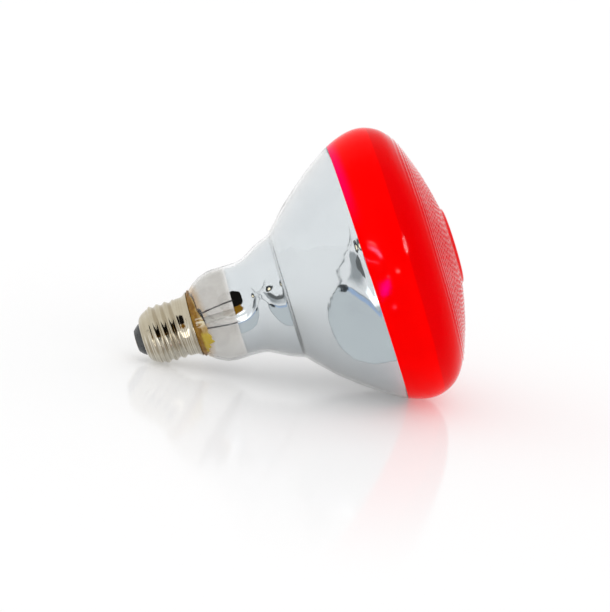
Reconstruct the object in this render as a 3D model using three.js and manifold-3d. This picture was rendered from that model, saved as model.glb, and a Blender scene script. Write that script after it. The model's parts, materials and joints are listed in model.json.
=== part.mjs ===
// Infrared heat lamp: a red-fronted reflector bulb with an E27 screw cap, lying at rest on its side.
// Units are millimetres and +Z is up. The bulb lies in the XZ plane, cap towards -X and red face towards +X,
// touching the surface z = 0 with its first cap thread and the widest part of its bowl.
//
// Lamp frame used below: +Y runs along the bulb axis from the contact end (y = 0) to the front,
// +Z is the side of the bulb that ends up on top, +X the side that ends up towards -Y.
import * as THREE from "three";
import { mergeVertices } from "three/addons/utils/BufferGeometryUtils.js";
import Module from "manifold-3d";

// ---------------------------------------------------------------- driving dimensions
const OVERALL_LENGTH = 144.9; // contact face to front disc
const BOWL_DIAMETER = 122.2; // at the widest ring, 38/8 inch size class
const THREAD_MAJOR_DIAMETER = 26.2; // E27 knuckle thread, over the crests
const THREAD_MINOR_DIAMETER = 24.3; // E27 knuckle thread, over the roots
const THREAD_PITCH = 3.629; // seven turns to the inch
const THREAD_START = 8.0; // axial position where the thread runs in
const THREAD_END = 22.9; // and where it has run out into the skirt
const THREAD_PHASE = 10.5; // axial position of a crest on the top side
const CAP_RIM = 26.6; // open end of the cap shell
const GAP = 0.3; // clearance kept between neighbouring pieces
const GLASS_WALL = 1.1; // blown glass wall of neck and bowl
const LACQUER_WALL = 0.5; // red lacquer coat, drawn thicker than life
const MIRROR_WALL = 0.4; // aluminium film, drawn thicker than life
const MIRROR_FROM = 44.5; // reflector film starts in the neck
const MIRROR_TO = 119.0; // and ends at the widest ring
const RED_FROM = 105.2; // edge of the red lacquer on the bowl
const DISC_RADIUS = 15.6; // flat smooth disc in the middle of the front
const LEAD_SPREAD = 5.0; // inner leads run this far either side of the axis
const PRESS_FROM = 21.0; // glass pinch seal of the stem
const PRESS_TO = 31.0;
const PRESS_WIDTH = 12.0;
const PRESS_THICKNESS = 3.4;
const SEAL_SPREAD = 3.6; // seal wires either side of the axis inside the press
const FILAMENT_PLANE = 80.0; // axial position of the filament arc, at the bowl's focus
const FILAMENT_RADIUS = 12.0; // radius of the arc it is hung on
const COIL_DIAMETER = 1.6; // outside diameter of the coiled filament
const CEMENT_SLOT = (8 * Math.PI) / 180; // gap in the cement ring for the side lead
const SEGMENTS_BULB = 32; // sides of the large round pieces
const SEGMENTS_CAP = 30; // sides of the cap pieces
const SEGMENTS_SMALL = 14; // sides of the small round pieces

// Outside of the bulb as [axial position, radius], from the cap rim to the front disc.
const BULB_OUTSIDE = [
  [27.6, 14.1], [28.8, 15.8], [31.2, 17.6], [34, 19.15], [38, 20.4], [42, 20.65], [49, 20.45], [53, 20.8],
  [56, 22.1], [60, 24.45], [65, 26.75], [69, 28.5], [70.6, 30.3], [76, 35.8], [83, 42.35], [90, 48.0],
  [98, 53.65], [RED_FROM, 57.75], [111, 59.95], [117.8, BOWL_DIAMETER / 2], [123, 60.05], [128, 57.2],
  [132, 52.75], [135.6, 44.8], [139, 34.4], [141.6, 24.7], [143, 17.7], [144.3, 16.6], [OVERALL_LENGTH, DISC_RADIUS],
];

// ---------------------------------------------------------------- helpers
const wasm = await Module();
wasm.setup();

// A body of revolution about the bulb axis from a closed [axial, radius] outline.
// The first facet is centred on the top, so a flat facet also lies underneath.
function revolve(outline, segments) {
  const closed = [...outline];
  const [a, b] = [closed[0], closed[closed.length - 1]];
  const onAxis = a[1] < 1e-6 && b[1] < 1e-6;
  if (!onAxis && (a[0] !== b[0] || a[1] !== b[1])) closed.push(a);
  let area = 0;
  closed.forEach(([y, r], i) => {
    const [y2, r2] = closed[(i + 1) % closed.length];
    area += r * y2 - r2 * y;
  });
  if (area < 0) closed.reverse();
  return new THREE.LatheGeometry(
    closed.map(([y, r]) => new THREE.Vector2(r, y)),
    segments,
    Math.PI / segments,
    2 * Math.PI,
  );
}

// The same, left open over a slot centred on one side, with flat ends on the slot.
function revolveSector(outline, segments, slotAt, slotAngle) {
  const points = outline.map(([y, r]) => new THREE.Vector2(r, y));
  if (THREE.ShapeUtils.area(points) < 0) points.reverse();
  const [from, sweep] = [slotAt + slotAngle / 2, 2 * Math.PI - slotAngle];
  const skin = new THREE.LatheGeometry([...points, points[0]], segments, from, sweep).toNonIndexed();
  const at = (p, turn) => [p.x * Math.sin(turn), p.y, p.x * Math.cos(turn)];
  const corners = [];
  for (const [i, j, k] of THREE.ShapeUtils.triangulateShape(points, [])) {
    corners.push(...at(points[i], from), ...at(points[j], from), ...at(points[k], from));
    corners.push(...at(points[k], from + sweep), ...at(points[j], from + sweep), ...at(points[i], from + sweep));
  }
  const g = new THREE.BufferGeometry();
  g.setAttribute("position", new THREE.Float32BufferAttribute([...skin.attributes.position.array, ...corners], 3));
  g.computeVertexNormals();
  return g;
}

// The outline moved square to itself by a distance, inwards for a positive one.
function inset(outline, distance) {
  return outline.map((p, i) => {
    const q = outline[Math.max(i - 1, 0)];
    const n = outline[Math.min(i + 1, outline.length - 1)];
    const [dy, dr] = [n[0] - q[0], n[1] - q[1]];
    const l = Math.hypot(dy, dr);
    return [p[0] + (distance * dr) / l, p[1] - (distance * dy) / l];
  });
}

// The outline between two axial positions, with its ends worked out on the line.
function between(outline, from, to) {
  const at = (y) => {
    const i = outline.findIndex((p, k) => k > 0 && p[0] >= y);
    const [p, q] = [outline[i - 1], outline[i]];
    return [y, p[1] + ((q[1] - p[1]) * (y - p[0])) / (q[0] - p[0])];
  };
  return [at(from), ...outline.filter((p) => p[0] > from + 0.4 && p[0] < to - 0.4), at(to)];
}

// A round wire along a smooth line through the given [x, y, z] points.
function wire(points, radius, steps, sides = 8) {
  const section = new THREE.Shape();
  for (let i = 0; i < sides; i++) {
    const t = (2 * Math.PI * (i + 0.5)) / sides;
    if (i) section.lineTo(radius * Math.cos(t), radius * Math.sin(t));
    else section.moveTo(radius * Math.cos(t), radius * Math.sin(t));
  }
  section.closePath();
  const path = new THREE.CatmullRomCurve3(points.map((p) => new THREE.Vector3(...p)), false, "centripetal");
  return new THREE.ExtrudeGeometry(section, { steps, bevelEnabled: false, extrudePath: path });
}

function solid(geometry) {
  const g = geometry.clone();
  g.deleteAttribute("normal");
  g.deleteAttribute("uv");
  const m = mergeVertices(g, 1e-4);
  return new wasm.Manifold(
    new wasm.Mesh({
      numProp: 3,
      vertProperties: new Float32Array(m.attributes.position.array),
      triVerts: new Uint32Array(m.index.array),
    }),
  );
}

function geometryOf(manifold) {
  const mesh = manifold.getMesh();
  const g = new THREE.BufferGeometry();
  g.setAttribute("position", new THREE.BufferAttribute(new Float32Array(mesh.vertProperties), 3));
  g.setIndex(new THREE.BufferAttribute(new Uint32Array(mesh.triVerts), 1));
  g.computeVertexNormals();
  return g;
}

const lamp = new THREE.Group();

function piece(name, geometry, color, roughness, metalness, opacity = 1) {
  const material = new THREE.MeshStandardMaterial({ color, roughness, metalness, transparent: opacity < 1, opacity });
  const mesh = new THREE.Mesh(geometry, material);
  mesh.name = name;
  lamp.add(mesh);
  return mesh;
}

const NICKEL = [0xcfc8b8, 0.25, 1.0];
const CLEAR_GLASS = [0xe6ecec, 0.05, 0.0];
const COPPER = [0xb87348, 0.35, 1.0];
const IRON_LEAD = [0x77757a, 0.4, 1.0];
const SOLDER = [0xb9bcc0, 0.4, 1.0];

// ---------------------------------------------------------------- E27 cap
// Rolled shell: the end curls in around the insulator, the middle carries a right-hand knuckle thread
// and the skirt flares to the open rim.
const crest = THREAD_MAJOR_DIAMETER / 2;
const root = THREAD_MINOR_DIAMETER / 2;
const threadMean = (crest + root) / 2;
const threadRows = [];
for (let y = THREAD_START; y <= THREAD_END + 1e-6; y += (THREAD_END - THREAD_START) / 25) threadRows.push([y, threadMean]);
const shellOutside = [
  [3.3, 7.7], [3.6, 8.6], [4.1, 9.5], [5.0, 10.4], [6.2, 11.2], [7.3, 11.8],
  ...threadRows,
  [24.0, 13.3], [25.3, 13.85], [26.2, 14.35], [CAP_RIM, 14.55],
];
const shellInside = [
  [CAP_RIM, 14.2], [25.4, 13.6], [24.2, 13.1], [23.0, 12.55], [21.0, 11.8], [9.0, 11.6],
  [7.4, 11.3], [6.0, 10.6], [4.7, 9.7], [4.0, 8.7], [3.75, 7.7],
];
const shell = revolve([...shellOutside, ...shellInside], SEGMENTS_CAP);
{
  // Shape the thread rows: a cosine ridge that winds one pitch per turn and fades at both ends.
  const p = shell.attributes.position;
  const smooth = (t) => { const c = Math.min(Math.max(t, 0), 1); return c * c * (3 - 2 * c); };
  for (let i = 0; i < p.count; i++) {
    const [x, y, z] = [p.getX(i), p.getY(i), p.getZ(i)];
    const r = Math.hypot(x, z);
    if (y < THREAD_START - 1e-6 || y > THREAD_END + 1e-6 || Math.abs(r - threadMean) > 1e-3) continue;
    const turn = Math.atan2(x, z);
    const run = smooth((y - THREAD_START) / 1.8) * smooth((THREAD_END - y) / 1.2);
    const lead = (1 - smooth((y - THREAD_START) / 1.6)) * -0.45 + smooth((y - 21.6) / 1.3) * 0.3;
    const ridge = ((crest - root) / 2) * run * Math.cos((2 * Math.PI * (y - THREAD_PHASE)) / THREAD_PITCH - turn);
    const k = (r + lead + ridge) / r;
    p.setXYZ(i, x * k, y, z * k);
  }
  shell.computeVertexNormals();
}
piece("cap_shell", shell, ...NICKEL);

// Black glass insulator, cast into the curled end of the shell, with a seat for the centre contact.
piece(
  "cap_insulator",
  revolve(
    [
      [0.15, 4.3], [0.15, 4.6], [0.5, 5.05], [3.2, 7.3], [3.9, 7.38], [4.4, 8.5], [5.6, 9.85], [7.2, 10.7],
      [7.2, 9.9], [4.8, 6.3], [2.6, 4.2], [2.6, 1.5], [0.8, 1.5], [0.8, 4.3],
    ],
    SEGMENTS_CAP,
  ),
  0x16181a, 0.3, 0.0,
);

// Centre contact: a nickelled brass washer, its hole filled by the solder of the centre lead.
piece("centre_contact", revolve([[0, 1.45], [0, 3.8], [0.12, 3.95], [0.5, 3.95], [0.5, 1.45]], SEGMENTS_CAP), 0xd2b36a, 0.3, 1.0);
piece("centre_solder", revolve([[0, 0], [0, 0.95], [0.2, 1.12], [0.9, 1.1], [1.1, 0.7], [1.1, 0]], SEGMENTS_SMALL), ...SOLDER);

// Side solder: a flattened bead on the outside of the skirt, at the back of the lamp.
{
  const bead = new THREE.CapsuleGeometry(0.45, 1.5, 3, 10);
  bead.rotateX(Math.PI / 2).rotateZ(-0.42).translate(-14.95, 25.0, 0);
  piece("side_solder", bead, ...SOLDER);
}

// Basing cement between neck and skirt, with a bead showing over the rim. The ring is open at the back
// of the lamp, where the side lead comes up through it.
piece(
  "basing_cement",
  revolveSector(
    [
      [20.2, 10.98], [22.9, 11.6], [24.9, 12.3], [26.5, 13.2], [27.3, 14.15], [27.75, 14.8],
      [27.6, 15.05], [27.0, 14.95], [26.92, 14.12], [25.6, 13.35], [23.2, 12.3], [21.2, 11.45], [20.2, 11.4],
    ],
    28, -Math.PI / 2, CEMENT_SLOT,
  ),
  0x9a6420, 0.75, 0.0,
);

// ---------------------------------------------------------------- bulb
// Glass: the neck runs down inside the cap to the stem seal, and the front is set back under the lacquer,
// with a small step where the lacquer begins.
const front = between(BULB_OUTSIDE, RED_FROM, OVERALL_LENGTH);
const lastOf = (list) => list[list.length - 1];
const SET_BACK = LACQUER_WALL + GAP;
const glassOutside = [
  [14.0, 10.3], [20.0, 10.6], [23.0, 11.2], [25.0, 12.0], [26.6, 12.9],
  ...between(BULB_OUTSIDE, 27.6, RED_FROM - GAP),
];
glassOutside.push([RED_FROM - GAP, lastOf(glassOutside)[1] - SET_BACK - 0.1]);
glassOutside.push(...inset(front, SET_BACK).slice(1, -1), [OVERALL_LENGTH - SET_BACK, DISC_RADIUS - 0.4]);
// Inside, every other station is enough.
const wall = BULB_OUTSIDE.filter((p) => ![28.8, 34, 49, 65, 76, 90, 139, 144.3].includes(p[0]));
const glassInside = [
  [14.0, 9.3], [20.0, 9.55], [23.4, 10.15], [25.5, 11.0],
  ...inset(wall, GLASS_WALL).filter((p) => p[0] < RED_FROM - 1 && p[0] > 26),
  ...inset(wall, GLASS_WALL + SET_BACK).filter((p) => p[0] > RED_FROM + 1).slice(0, -1),
  [OVERALL_LENGTH - SET_BACK - GLASS_WALL, DISC_RADIUS - 1.6],
];
piece(
  "glass_envelope",
  revolve(
    [...glassOutside, [lastOf(glassOutside)[0], 0], [lastOf(glassInside)[0], 0], ...[...glassInside].reverse(), glassOutside[0]],
    SEGMENTS_BULB,
  ),
  ...CLEAR_GLASS, 0.35,
);

// Reflector: aluminium film on the inside of the bowl and upper neck.
{
  const seat = between(glassInside, MIRROR_FROM, MIRROR_TO);
  piece(
    "reflector_coating",
    revolve([...inset(seat, GAP), ...inset(seat, GAP + MIRROR_WALL).reverse()], SEGMENTS_BULB),
    0xd9dee2, 0.08, 1.0,
  );
}

// Red lacquer over the whole front, out to the edge on the bowl.
{
  const back = [...inset(front, LACQUER_WALL).slice(0, -1), [OVERALL_LENGTH - LACQUER_WALL, DISC_RADIUS - 0.25]];
  back[0] = [RED_FROM, front[0][1] - LACQUER_WALL - 0.1];
  piece(
    "red_lacquer",
    revolve([...front, [OVERALL_LENGTH, 0], [OVERALL_LENGTH - LACQUER_WALL, 0], ...back.reverse(), front[0]], SEGMENTS_BULB),
    0xe00006, 0.12, 0.0,
  );
}

// ---------------------------------------------------------------- stem
// Flare: a glass trumpet sealed to the neck's end, closed by a flat pinch with two wire seals through it.
{
  const trumpet = revolve(
    [
      [13.7, 10.4], [13.7, 8.5], [15.2, 7.2], [18.0, 6.3], [21.4, 5.8], [22.6, 3.6], [22.6, 0],
      [21.4, 0], [20.6, 3.8], [18.0, 5.2], [14.6, 6.4], [13.0, 7.9], [12.5, 9.2], [12.5, 10.4],
    ],
    18,
  );
  const outline = new THREE.Shape();
  const [w, t, c] = [PRESS_WIDTH / 2, PRESS_THICKNESS / 2, 0.8];
  outline.moveTo(-t + c, -w).lineTo(t - c, -w).lineTo(t, -w + c).lineTo(t, w - c).lineTo(t - c, w);
  outline.lineTo(-t + c, w).lineTo(-t, w - c).lineTo(-t, -w + c).closePath();
  const slab = new THREE.ExtrudeGeometry(outline, {
    depth: PRESS_TO - PRESS_FROM - 0.5, bevelEnabled: true, bevelThickness: 0.5, bevelSize: 0.5, bevelOffset: -0.5, bevelSegments: 1, steps: 1,
  });
  slab.rotateX(-Math.PI / 2).translate(0, PRESS_FROM, 0);
  let stem = solid(trumpet).add(solid(slab));
  for (const side of [1, -1]) {
    const bore = new THREE.CylinderGeometry(0.6, 0.6, 16, 12);
    bore.translate(0, 26, side * SEAL_SPREAD);
    stem = stem.subtract(solid(bore));
  }
  piece("stem_flare", geometryOf(stem), ...CLEAR_GLASS, 0.35);
}

// Exhaust tube down the middle of the stem, tipped off inside the cap.
piece(
  "exhaust_tube",
  revolve([[20.1, 1.15], [20.1, 1.95], [9.0, 1.95], [7.4, 1.3], [6.6, 0], [8.0, 0], [9.2, 1.15], [20.1, 1.15]].reverse(), 12),
  ...CLEAR_GLASS, 0.35,
);

// Glass cane on the press, with a button that holds the filament supports.
piece(
  "arbor_rod",
  revolve([[31.3, 0], [31.3, 1.6], [63.0, 1.6], [64.0, 2.6], [66.6, 2.8], [67.6, 1.8], [67.8, 0]], 12),
  ...CLEAR_GLASS, 0.35,
);

// ---------------------------------------------------------------- electrical path
for (const [side, label] of [[1, "a"], [-1, "b"]]) {
  const z = side * SEAL_SPREAD;
  piece("seal_wire_" + label, wire([[0, 21.0, z], [0, 25, z], [0, 29.4, z]], 0.28, 2), 0x9c4a2c, 0.4, 1.0);
  piece(
    "inner_lead_" + label,
    wire(
      [
        [0, 29.7, z], [0, 31.6, z], [0, 34.5, side * LEAD_SPREAD], [0, 50, side * LEAD_SPREAD], [0, 68, side * LEAD_SPREAD],
        [0, 74, side * (LEAD_SPREAD + 2.2)], [0, FILAMENT_PLANE - 1.3, side * FILAMENT_RADIUS],
      ],
      0.35, 12, 7,
    ),
    ...IRON_LEAD,
  );
}
// Filament: a coiled tungsten wire on a half-circle arc between the lead ends.
{
  const arc = [];
  for (let i = 0; i <= 8; i++) {
    const t = (-0.5 + i / 8) * Math.PI;
    arc.push([FILAMENT_RADIUS * Math.cos(t), FILAMENT_PLANE + 0.2, FILAMENT_RADIUS * Math.sin(t)]);
  }
  piece("filament_coil", wire(arc, COIL_DIAMETER / 2, 16, 8), 0x4a4a4e, 0.5, 1.0);
}
// Molybdenum supports fan out from the button to the filament.
for (const [i, degrees] of [-54, 0, 54].entries()) {
  const t = (degrees * Math.PI) / 180;
  const [cx, cz] = [Math.cos(t), Math.sin(t)];
  piece(
    "filament_support_" + (i + 1),
    wire(
      [
        [3.4 * cx, 65.4, 3.4 * cz], [5.2 * cx, 67.2, 5.2 * cz], [8.6 * cx, 73.4, 8.6 * cz],
        [FILAMENT_RADIUS * cx, FILAMENT_PLANE - 1.3, FILAMENT_RADIUS * cz],
      ],
      0.2, 8, 6,
    ),
    0x8a8a90, 0.45, 1.0,
  );
}
// Centre circuit: lead from the press, fuse in a glass sleeve, and a tail to the centre solder.
piece("centre_lead", wire([[0, 20.0, SEAL_SPREAD - 0.4], [0, 17, SEAL_SPREAD], [0, 14.7, SEAL_SPREAD]], 0.25, 3), ...COPPER);
piece("fuse_link", revolve([[7.6, 0], [7.6, 0.7], [8.1, 0.95], [13.9, 0.95], [14.4, 0.7], [14.4, 0]], 12).translate(0, 0, SEAL_SPREAD), 0xd8d2bc, 0.3, 0.0);
piece("fuse_tail", wire([[0, 7.3, SEAL_SPREAD], [0, 6.0, SEAL_SPREAD - 0.5], [0, 3.6, 1.2], [0, 2.4, 0.2], [0, 1.4, 0]], 0.25, 6), ...COPPER);
// Side circuit: round the sealed rim, up between neck and shell, and over the cap rim to the side solder.
piece(
  "side_lead",
  wire(
    [
      [0, 20.0, -SEAL_SPREAD + 0.4], [-0.6, 15.5, -4.2], [-3.4, 11.6, -5.6], [-8.2, 10.4, -5.0], [-10.6, 11.4, -2.4], [-11.02, 13.6, 0],
      [-11.08, 17, 0], [-11.16, 20.5, 0], [-11.95, 23.2, 0], [-13.0, 25.2, 0], [-13.85, 26.75, 0], [-14.5, 27.35, 0], [-15.15, 26.95, 0], [-15.3, 26.5, 0],
    ],
    0.18, 30, 6,
  ),
  ...COPPER,
);

// ---------------------------------------------------------------- resting attitude
// The bulb touches the surface at one cap crest and one ring of the bowl: the line through both
// facets has every other point of the outside above it, and its slope is the tilt at rest.
const bulbFlat = Math.cos(Math.PI / SEGMENTS_BULB);
const low = BULB_OUTSIDE.map(([y, r]) => [y, r * bulbFlat]);
lamp.updateMatrixWorld(true);
const shellLow = [];
{
  const p = shell.attributes.position;
  for (let i = 0; i < p.count; i++) if (p.getZ(i) < -9) shellLow.push([p.getY(i), -p.getZ(i)]);
}
let tilt = 0;
for (const [yc, rc] of shellLow)
  for (const [yb, rb] of low) {
    const slope = (rb - rc) / (yb - yc);
    const under = (p) => p[1] <= rc + slope * (p[0] - yc) + 1e-6;
    if (yb > 80 && shellLow.every(under) && low.every(under)) tilt = Math.atan(slope);
  }

lamp.rotation.z = -Math.PI / 2; // bulb axis to +X
const posed = new THREE.Group();
posed.add(lamp);
posed.rotation.y = -tilt;

const root3 = new THREE.Group();
root3.add(posed);
root3.updateMatrixWorld(true);
const box = new THREE.Box3().setFromObject(root3, true);
posed.position.set(-(box.min.x + box.max.x) / 2, -(box.min.y + box.max.y) / 2, -box.min.z);

export default root3;
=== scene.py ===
"""Red-fronted infrared reflector lamp with an E27 screw cap, lying on its side on a pale floor.

Lengths inside the helpers are millimetres in the lamp frame (x towards the viewer's side, s along the bulb
axis from the contact end, z towards the top side of the bulb); place() takes them to the row frame in metres.
"""
import json
import math

import bpy
import numpy as np
from mathutils import Matrix, Vector


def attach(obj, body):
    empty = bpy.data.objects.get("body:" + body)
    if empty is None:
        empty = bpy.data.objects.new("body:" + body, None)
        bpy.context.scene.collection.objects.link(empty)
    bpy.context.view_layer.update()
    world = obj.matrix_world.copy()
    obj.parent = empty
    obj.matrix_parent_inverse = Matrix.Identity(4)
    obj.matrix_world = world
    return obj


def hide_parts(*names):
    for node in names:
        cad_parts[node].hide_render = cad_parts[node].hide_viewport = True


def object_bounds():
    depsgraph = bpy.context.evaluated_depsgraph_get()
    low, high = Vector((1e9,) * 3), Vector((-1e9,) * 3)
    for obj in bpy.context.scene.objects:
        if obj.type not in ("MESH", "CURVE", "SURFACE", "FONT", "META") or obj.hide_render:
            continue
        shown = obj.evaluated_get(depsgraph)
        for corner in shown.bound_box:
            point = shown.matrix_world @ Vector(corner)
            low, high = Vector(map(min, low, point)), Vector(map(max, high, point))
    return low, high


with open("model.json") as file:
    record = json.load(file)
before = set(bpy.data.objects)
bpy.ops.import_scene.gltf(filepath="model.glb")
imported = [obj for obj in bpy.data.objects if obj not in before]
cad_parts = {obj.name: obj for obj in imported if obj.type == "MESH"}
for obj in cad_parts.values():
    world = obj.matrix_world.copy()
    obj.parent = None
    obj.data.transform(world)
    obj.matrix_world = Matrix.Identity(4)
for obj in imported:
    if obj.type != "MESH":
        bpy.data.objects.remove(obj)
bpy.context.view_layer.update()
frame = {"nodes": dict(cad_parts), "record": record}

NODES = frame["nodes"]
PI = math.pi


# ------------------------------------------------------------------ lamp frame, read from the CAD frame
def node_points(name):
    me = NODES[name].data
    co = np.empty(len(me.vertices) * 3)
    me.vertices.foreach_get("co", co)
    return co.reshape(-1, 3)


_mount = next(m for m in frame["record"]["mounts"] if m["name"] == "centre_contact")
AXIS = -np.array(_mount["axis"], float)
AXIS /= np.linalg.norm(AXIS)
SIDE = np.array([0.0, -1.0, 0.0])
TOP = np.cross(SIDE, AXIS)
if TOP[2] < 0:
    TOP = -TOP
_s = node_points("centre_contact") @ AXIS
_t = node_points("cap_insulator") @ TOP
_y = node_points("cap_insulator") @ SIDE
ORIGIN = AXIS * _s.min() + TOP * (_t.min() + _t.max()) / 2 + SIDE * (_y.min() + _y.max()) / 2


def place(p):
    p = np.asarray(p, float)
    return ORIGIN + (p[..., 0:1] * SIDE + p[..., 1:2] * AXIS + p[..., 2:3] * TOP) / 1000.0


# ------------------------------------------------------------------ outline of the bulb
# [station along the axis, radius], from the cap rim to the middle of the front disc
OUTLINE = np.array([
    (26.9, 13.0), (27.6, 14.1), (28.3, 15.05), (29.2, 15.95), (30.2, 16.8), (31.2, 17.55), (32.6, 18.42), (34.1, 19.15),
    (36.0, 19.9), (38.0, 20.42), (40.0, 20.66), (42.0, 20.67), (45.0, 20.57), (48.0, 20.47), (50.0, 20.47),
    (52.0, 20.62), (53.0, 20.82), (54.0, 21.12), (55.0, 21.57), (56.0, 22.12), (57.0, 22.72), (58.0, 23.32), (59.0, 23.9), (60.0, 24.46), (61.0, 24.99),
    (62.0, 25.49), (63.0, 25.95), (64.0, 26.37), (65.0, 26.75), (66.0, 27.1), (67.0, 27.43), (68.0, 27.78), (69.1, 28.4), (70.35, 30.0), (71.9, 31.65), (74.9, 34.8), (77.9, 37.9),
    (81.9, 41.45), (85.9, 44.75), (89.9, 47.95), (93.9, 50.85), (97.8, 53.5), (101.8, 55.95), (105.8, 58.05),
    (109.9, 59.65), (113.9, 60.7), (117.4, 61.1), (119.8, 60.95), (122.0, 60.4), (124.0, 59.65), (126.0, 58.7),
    (128.1, 57.35), (130.0, 55.4), (131.9, 52.85), (133.6, 49.75), (135.2, 45.9), (136.7, 41.5), (138.25, 37.0),
    (139.8, 31.8), (141.3, 26.2), (142.5, 20.6), (142.95, 18.5), (143.12, 17.55), (143.5, 17.1), (143.95, 16.85),
    (144.3, 16.4), (144.52, 15.6), (144.66, 14.4), (144.78, 10.0), (144.85, 5.0), (144.88, 0.0),
])
CREASE = 69.1
RED_EDGE = 105.2  # mean station of the lacquer's edge
EDGE_TILT = 1.25  # its plane leans by this much over the radius
MIRROR_EDGE = 45.6  # film edge in the neck
MIRROR_END = 122.6  # film edge behind the lacquer


def _dense():
    """The outline resampled by length and smoothed, except at the crease and round the disc."""
    seg = np.hypot(*np.diff(OUTLINE, axis=0).T)
    t = np.concatenate([[0], np.cumsum(seg)])
    fine = np.arange(0, t[-1], 0.12)
    fine = np.append(fine, t[-1])
    s = np.interp(fine, t, OUTLINE[:, 0])
    r = np.interp(fine, t, OUTLINE[:, 1])
    crease_t = np.interp(CREASE, OUTLINE[:-8, 0], t[:-8])
    disc_t = t[list(OUTLINE[:, 0]).index(142.95)]
    width = np.full(len(fine), 1.9)
    waist_t = np.interp(60.0, OUTLINE[:-8, 0], t[:-8])
    width = np.minimum(width, 1.0 + 0.12 * abs(fine - waist_t))
    width = np.minimum(width, 0.55 + 0.42 * abs(fine - crease_t))
    width = np.minimum(width, np.where(fine > disc_t - 3.5, 0.22 + 0.45 * np.maximum(disc_t + 0.2 - fine, 0), 9))
    width = np.minimum(width, 0.05 + 0.4 * (fine - fine[0]))
    width = np.minimum(width, 0.05 + 0.4 * (fine[-1] - fine))
    w = np.exp(-0.5 * ((fine[:, None] - fine[None, :]) / width[:, None]) ** 2)
    w /= w.sum(1, keepdims=True)
    # smooth the departure from the local straight run, so that the ends stay where they are
    s2, r2 = w @ s, w @ r
    return fine, s2, r2


LEN, PROF_S, PROF_R = _dense()
PROF_DS = np.gradient(PROF_S, LEN)
PROF_DR = np.gradient(PROF_R, LEN)
_n = np.hypot(PROF_DS, PROF_DR)
PROF_NS, PROF_NR = -PROF_DR / _n, PROF_DS / _n  # outward normal in (s, r)


def len_at(s):
    """Length along the outline at a station (only where the station still grows)."""
    return np.interp(s, np.maximum.accumulate(PROF_S), LEN)


def on_outline(length, depth=0.0):
    """(s, r) at a length along the outline, moved inwards by depth."""
    s = np.interp(length, LEN, PROF_S) - depth * np.interp(length, LEN, PROF_NS)
    r = np.interp(length, LEN, PROF_R) - depth * np.interp(length, LEN, PROF_NR)
    return s, r


# ------------------------------------------------------------------ mesh helpers
PIECES = []


def flip_if_inside_out(points, faces):
    """Faces turned so that their normals point out of the closed body."""
    vol = 0.0
    for f in faces:
        f = np.asarray(f)
        if f.ndim == 1:
            f = f[None]
        for k in range(1, f.shape[1] - 1):
            a, b, c = points[f[:, 0]], points[f[:, k]], points[f[:, k + 1]]
            vol += np.einsum("ij,ij->i", a, np.cross(b, c)).sum()
    if vol < 0:
        return [np.asarray(f)[..., ::-1] for f in faces]
    return faces


def make(name, points, faces, material, angle=40.0, replaces=()):
    """A closed body as a mesh piece: points in the lamp frame, faces as arrays of index rows."""
    world = place(points)
    faces = flip_if_inside_out(world - world.mean(0), faces)
    me = bpy.data.meshes.new(name)
    rows = [list(map(int, row)) for f in faces for row in np.atleast_2d(f)]
    me.from_pydata([tuple(p) for p in world], [], rows)
    me.validate()
    me.polygons.foreach_set("use_smooth", np.ones(len(me.polygons), bool))
    me.update()
    me.set_sharp_from_angle(angle=math.radians(angle))
    att = me.attributes.new("lamp", "FLOAT_VECTOR", "POINT")
    att.data.foreach_set("vector", np.asarray(points, np.float32).ravel())
    ob = bpy.data.objects.new(name, me)
    bpy.context.scene.collection.objects.link(ob)
    me.materials.append(material)
    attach(ob, "root")
    if replaces:
        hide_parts(*replaces)
    PIECES.append(ob)
    return ob


def grid_faces(rows, cols, first=0, close=False):
    i = np.arange(rows if close else rows - 1)[:, None]
    j = np.arange(cols)[None, :]
    k = (i + 1) % rows
    a = i * cols + j
    b = i * cols + (j + 1) % cols
    c = k * cols + (j + 1) % cols
    d = k * cols + j
    return (np.stack([a, b, c, d], -1).reshape(-1, 4) + first).astype(int)


def lathe(s, r, segments, shape=None):
    """Points and faces of a body turned about the axis. s, r: the outline; an end on the axis becomes a pole.
    shape(S, R, PHI) may move the rings' points in (s, r)."""
    s, r = np.asarray(s, float), np.asarray(r, float)
    pole_a, pole_b = r[0] < 1e-6, r[-1] < 1e-6
    lo, hi = (1 if pole_a else 0), (len(s) - 1 if pole_b else len(s))
    phi = 2 * PI * np.arange(segments) / segments
    S = np.repeat(s[lo:hi, None], segments, 1)
    R = np.repeat(r[lo:hi, None], segments, 1)
    P = np.repeat(phi[None, :], hi - lo, 0)
    if shape is not None:
        S, R = shape(S, R, P)
    pts = np.stack([R * np.sin(P), S, R * np.cos(P)], -1).reshape(-1, 3)
    rows = hi - lo
    faces = [grid_faces(rows, segments, 0, close=not (pole_a or pole_b))]
    j = np.arange(segments)
    if pole_a:
        n = len(pts)
        pts = np.vstack([pts, [[0, s[0], 0]]])
        faces.append(np.stack([np.full(segments, n), (j + 1) % segments, j], -1))
    if pole_b:
        n = len(pts)
        pts = np.vstack([pts, [[0, s[-1], 0]]])
        base = (rows - 1) * segments
        faces.append(np.stack([np.full(segments, n), base + j, base + (j + 1) % segments], -1))
    return pts, faces


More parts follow.
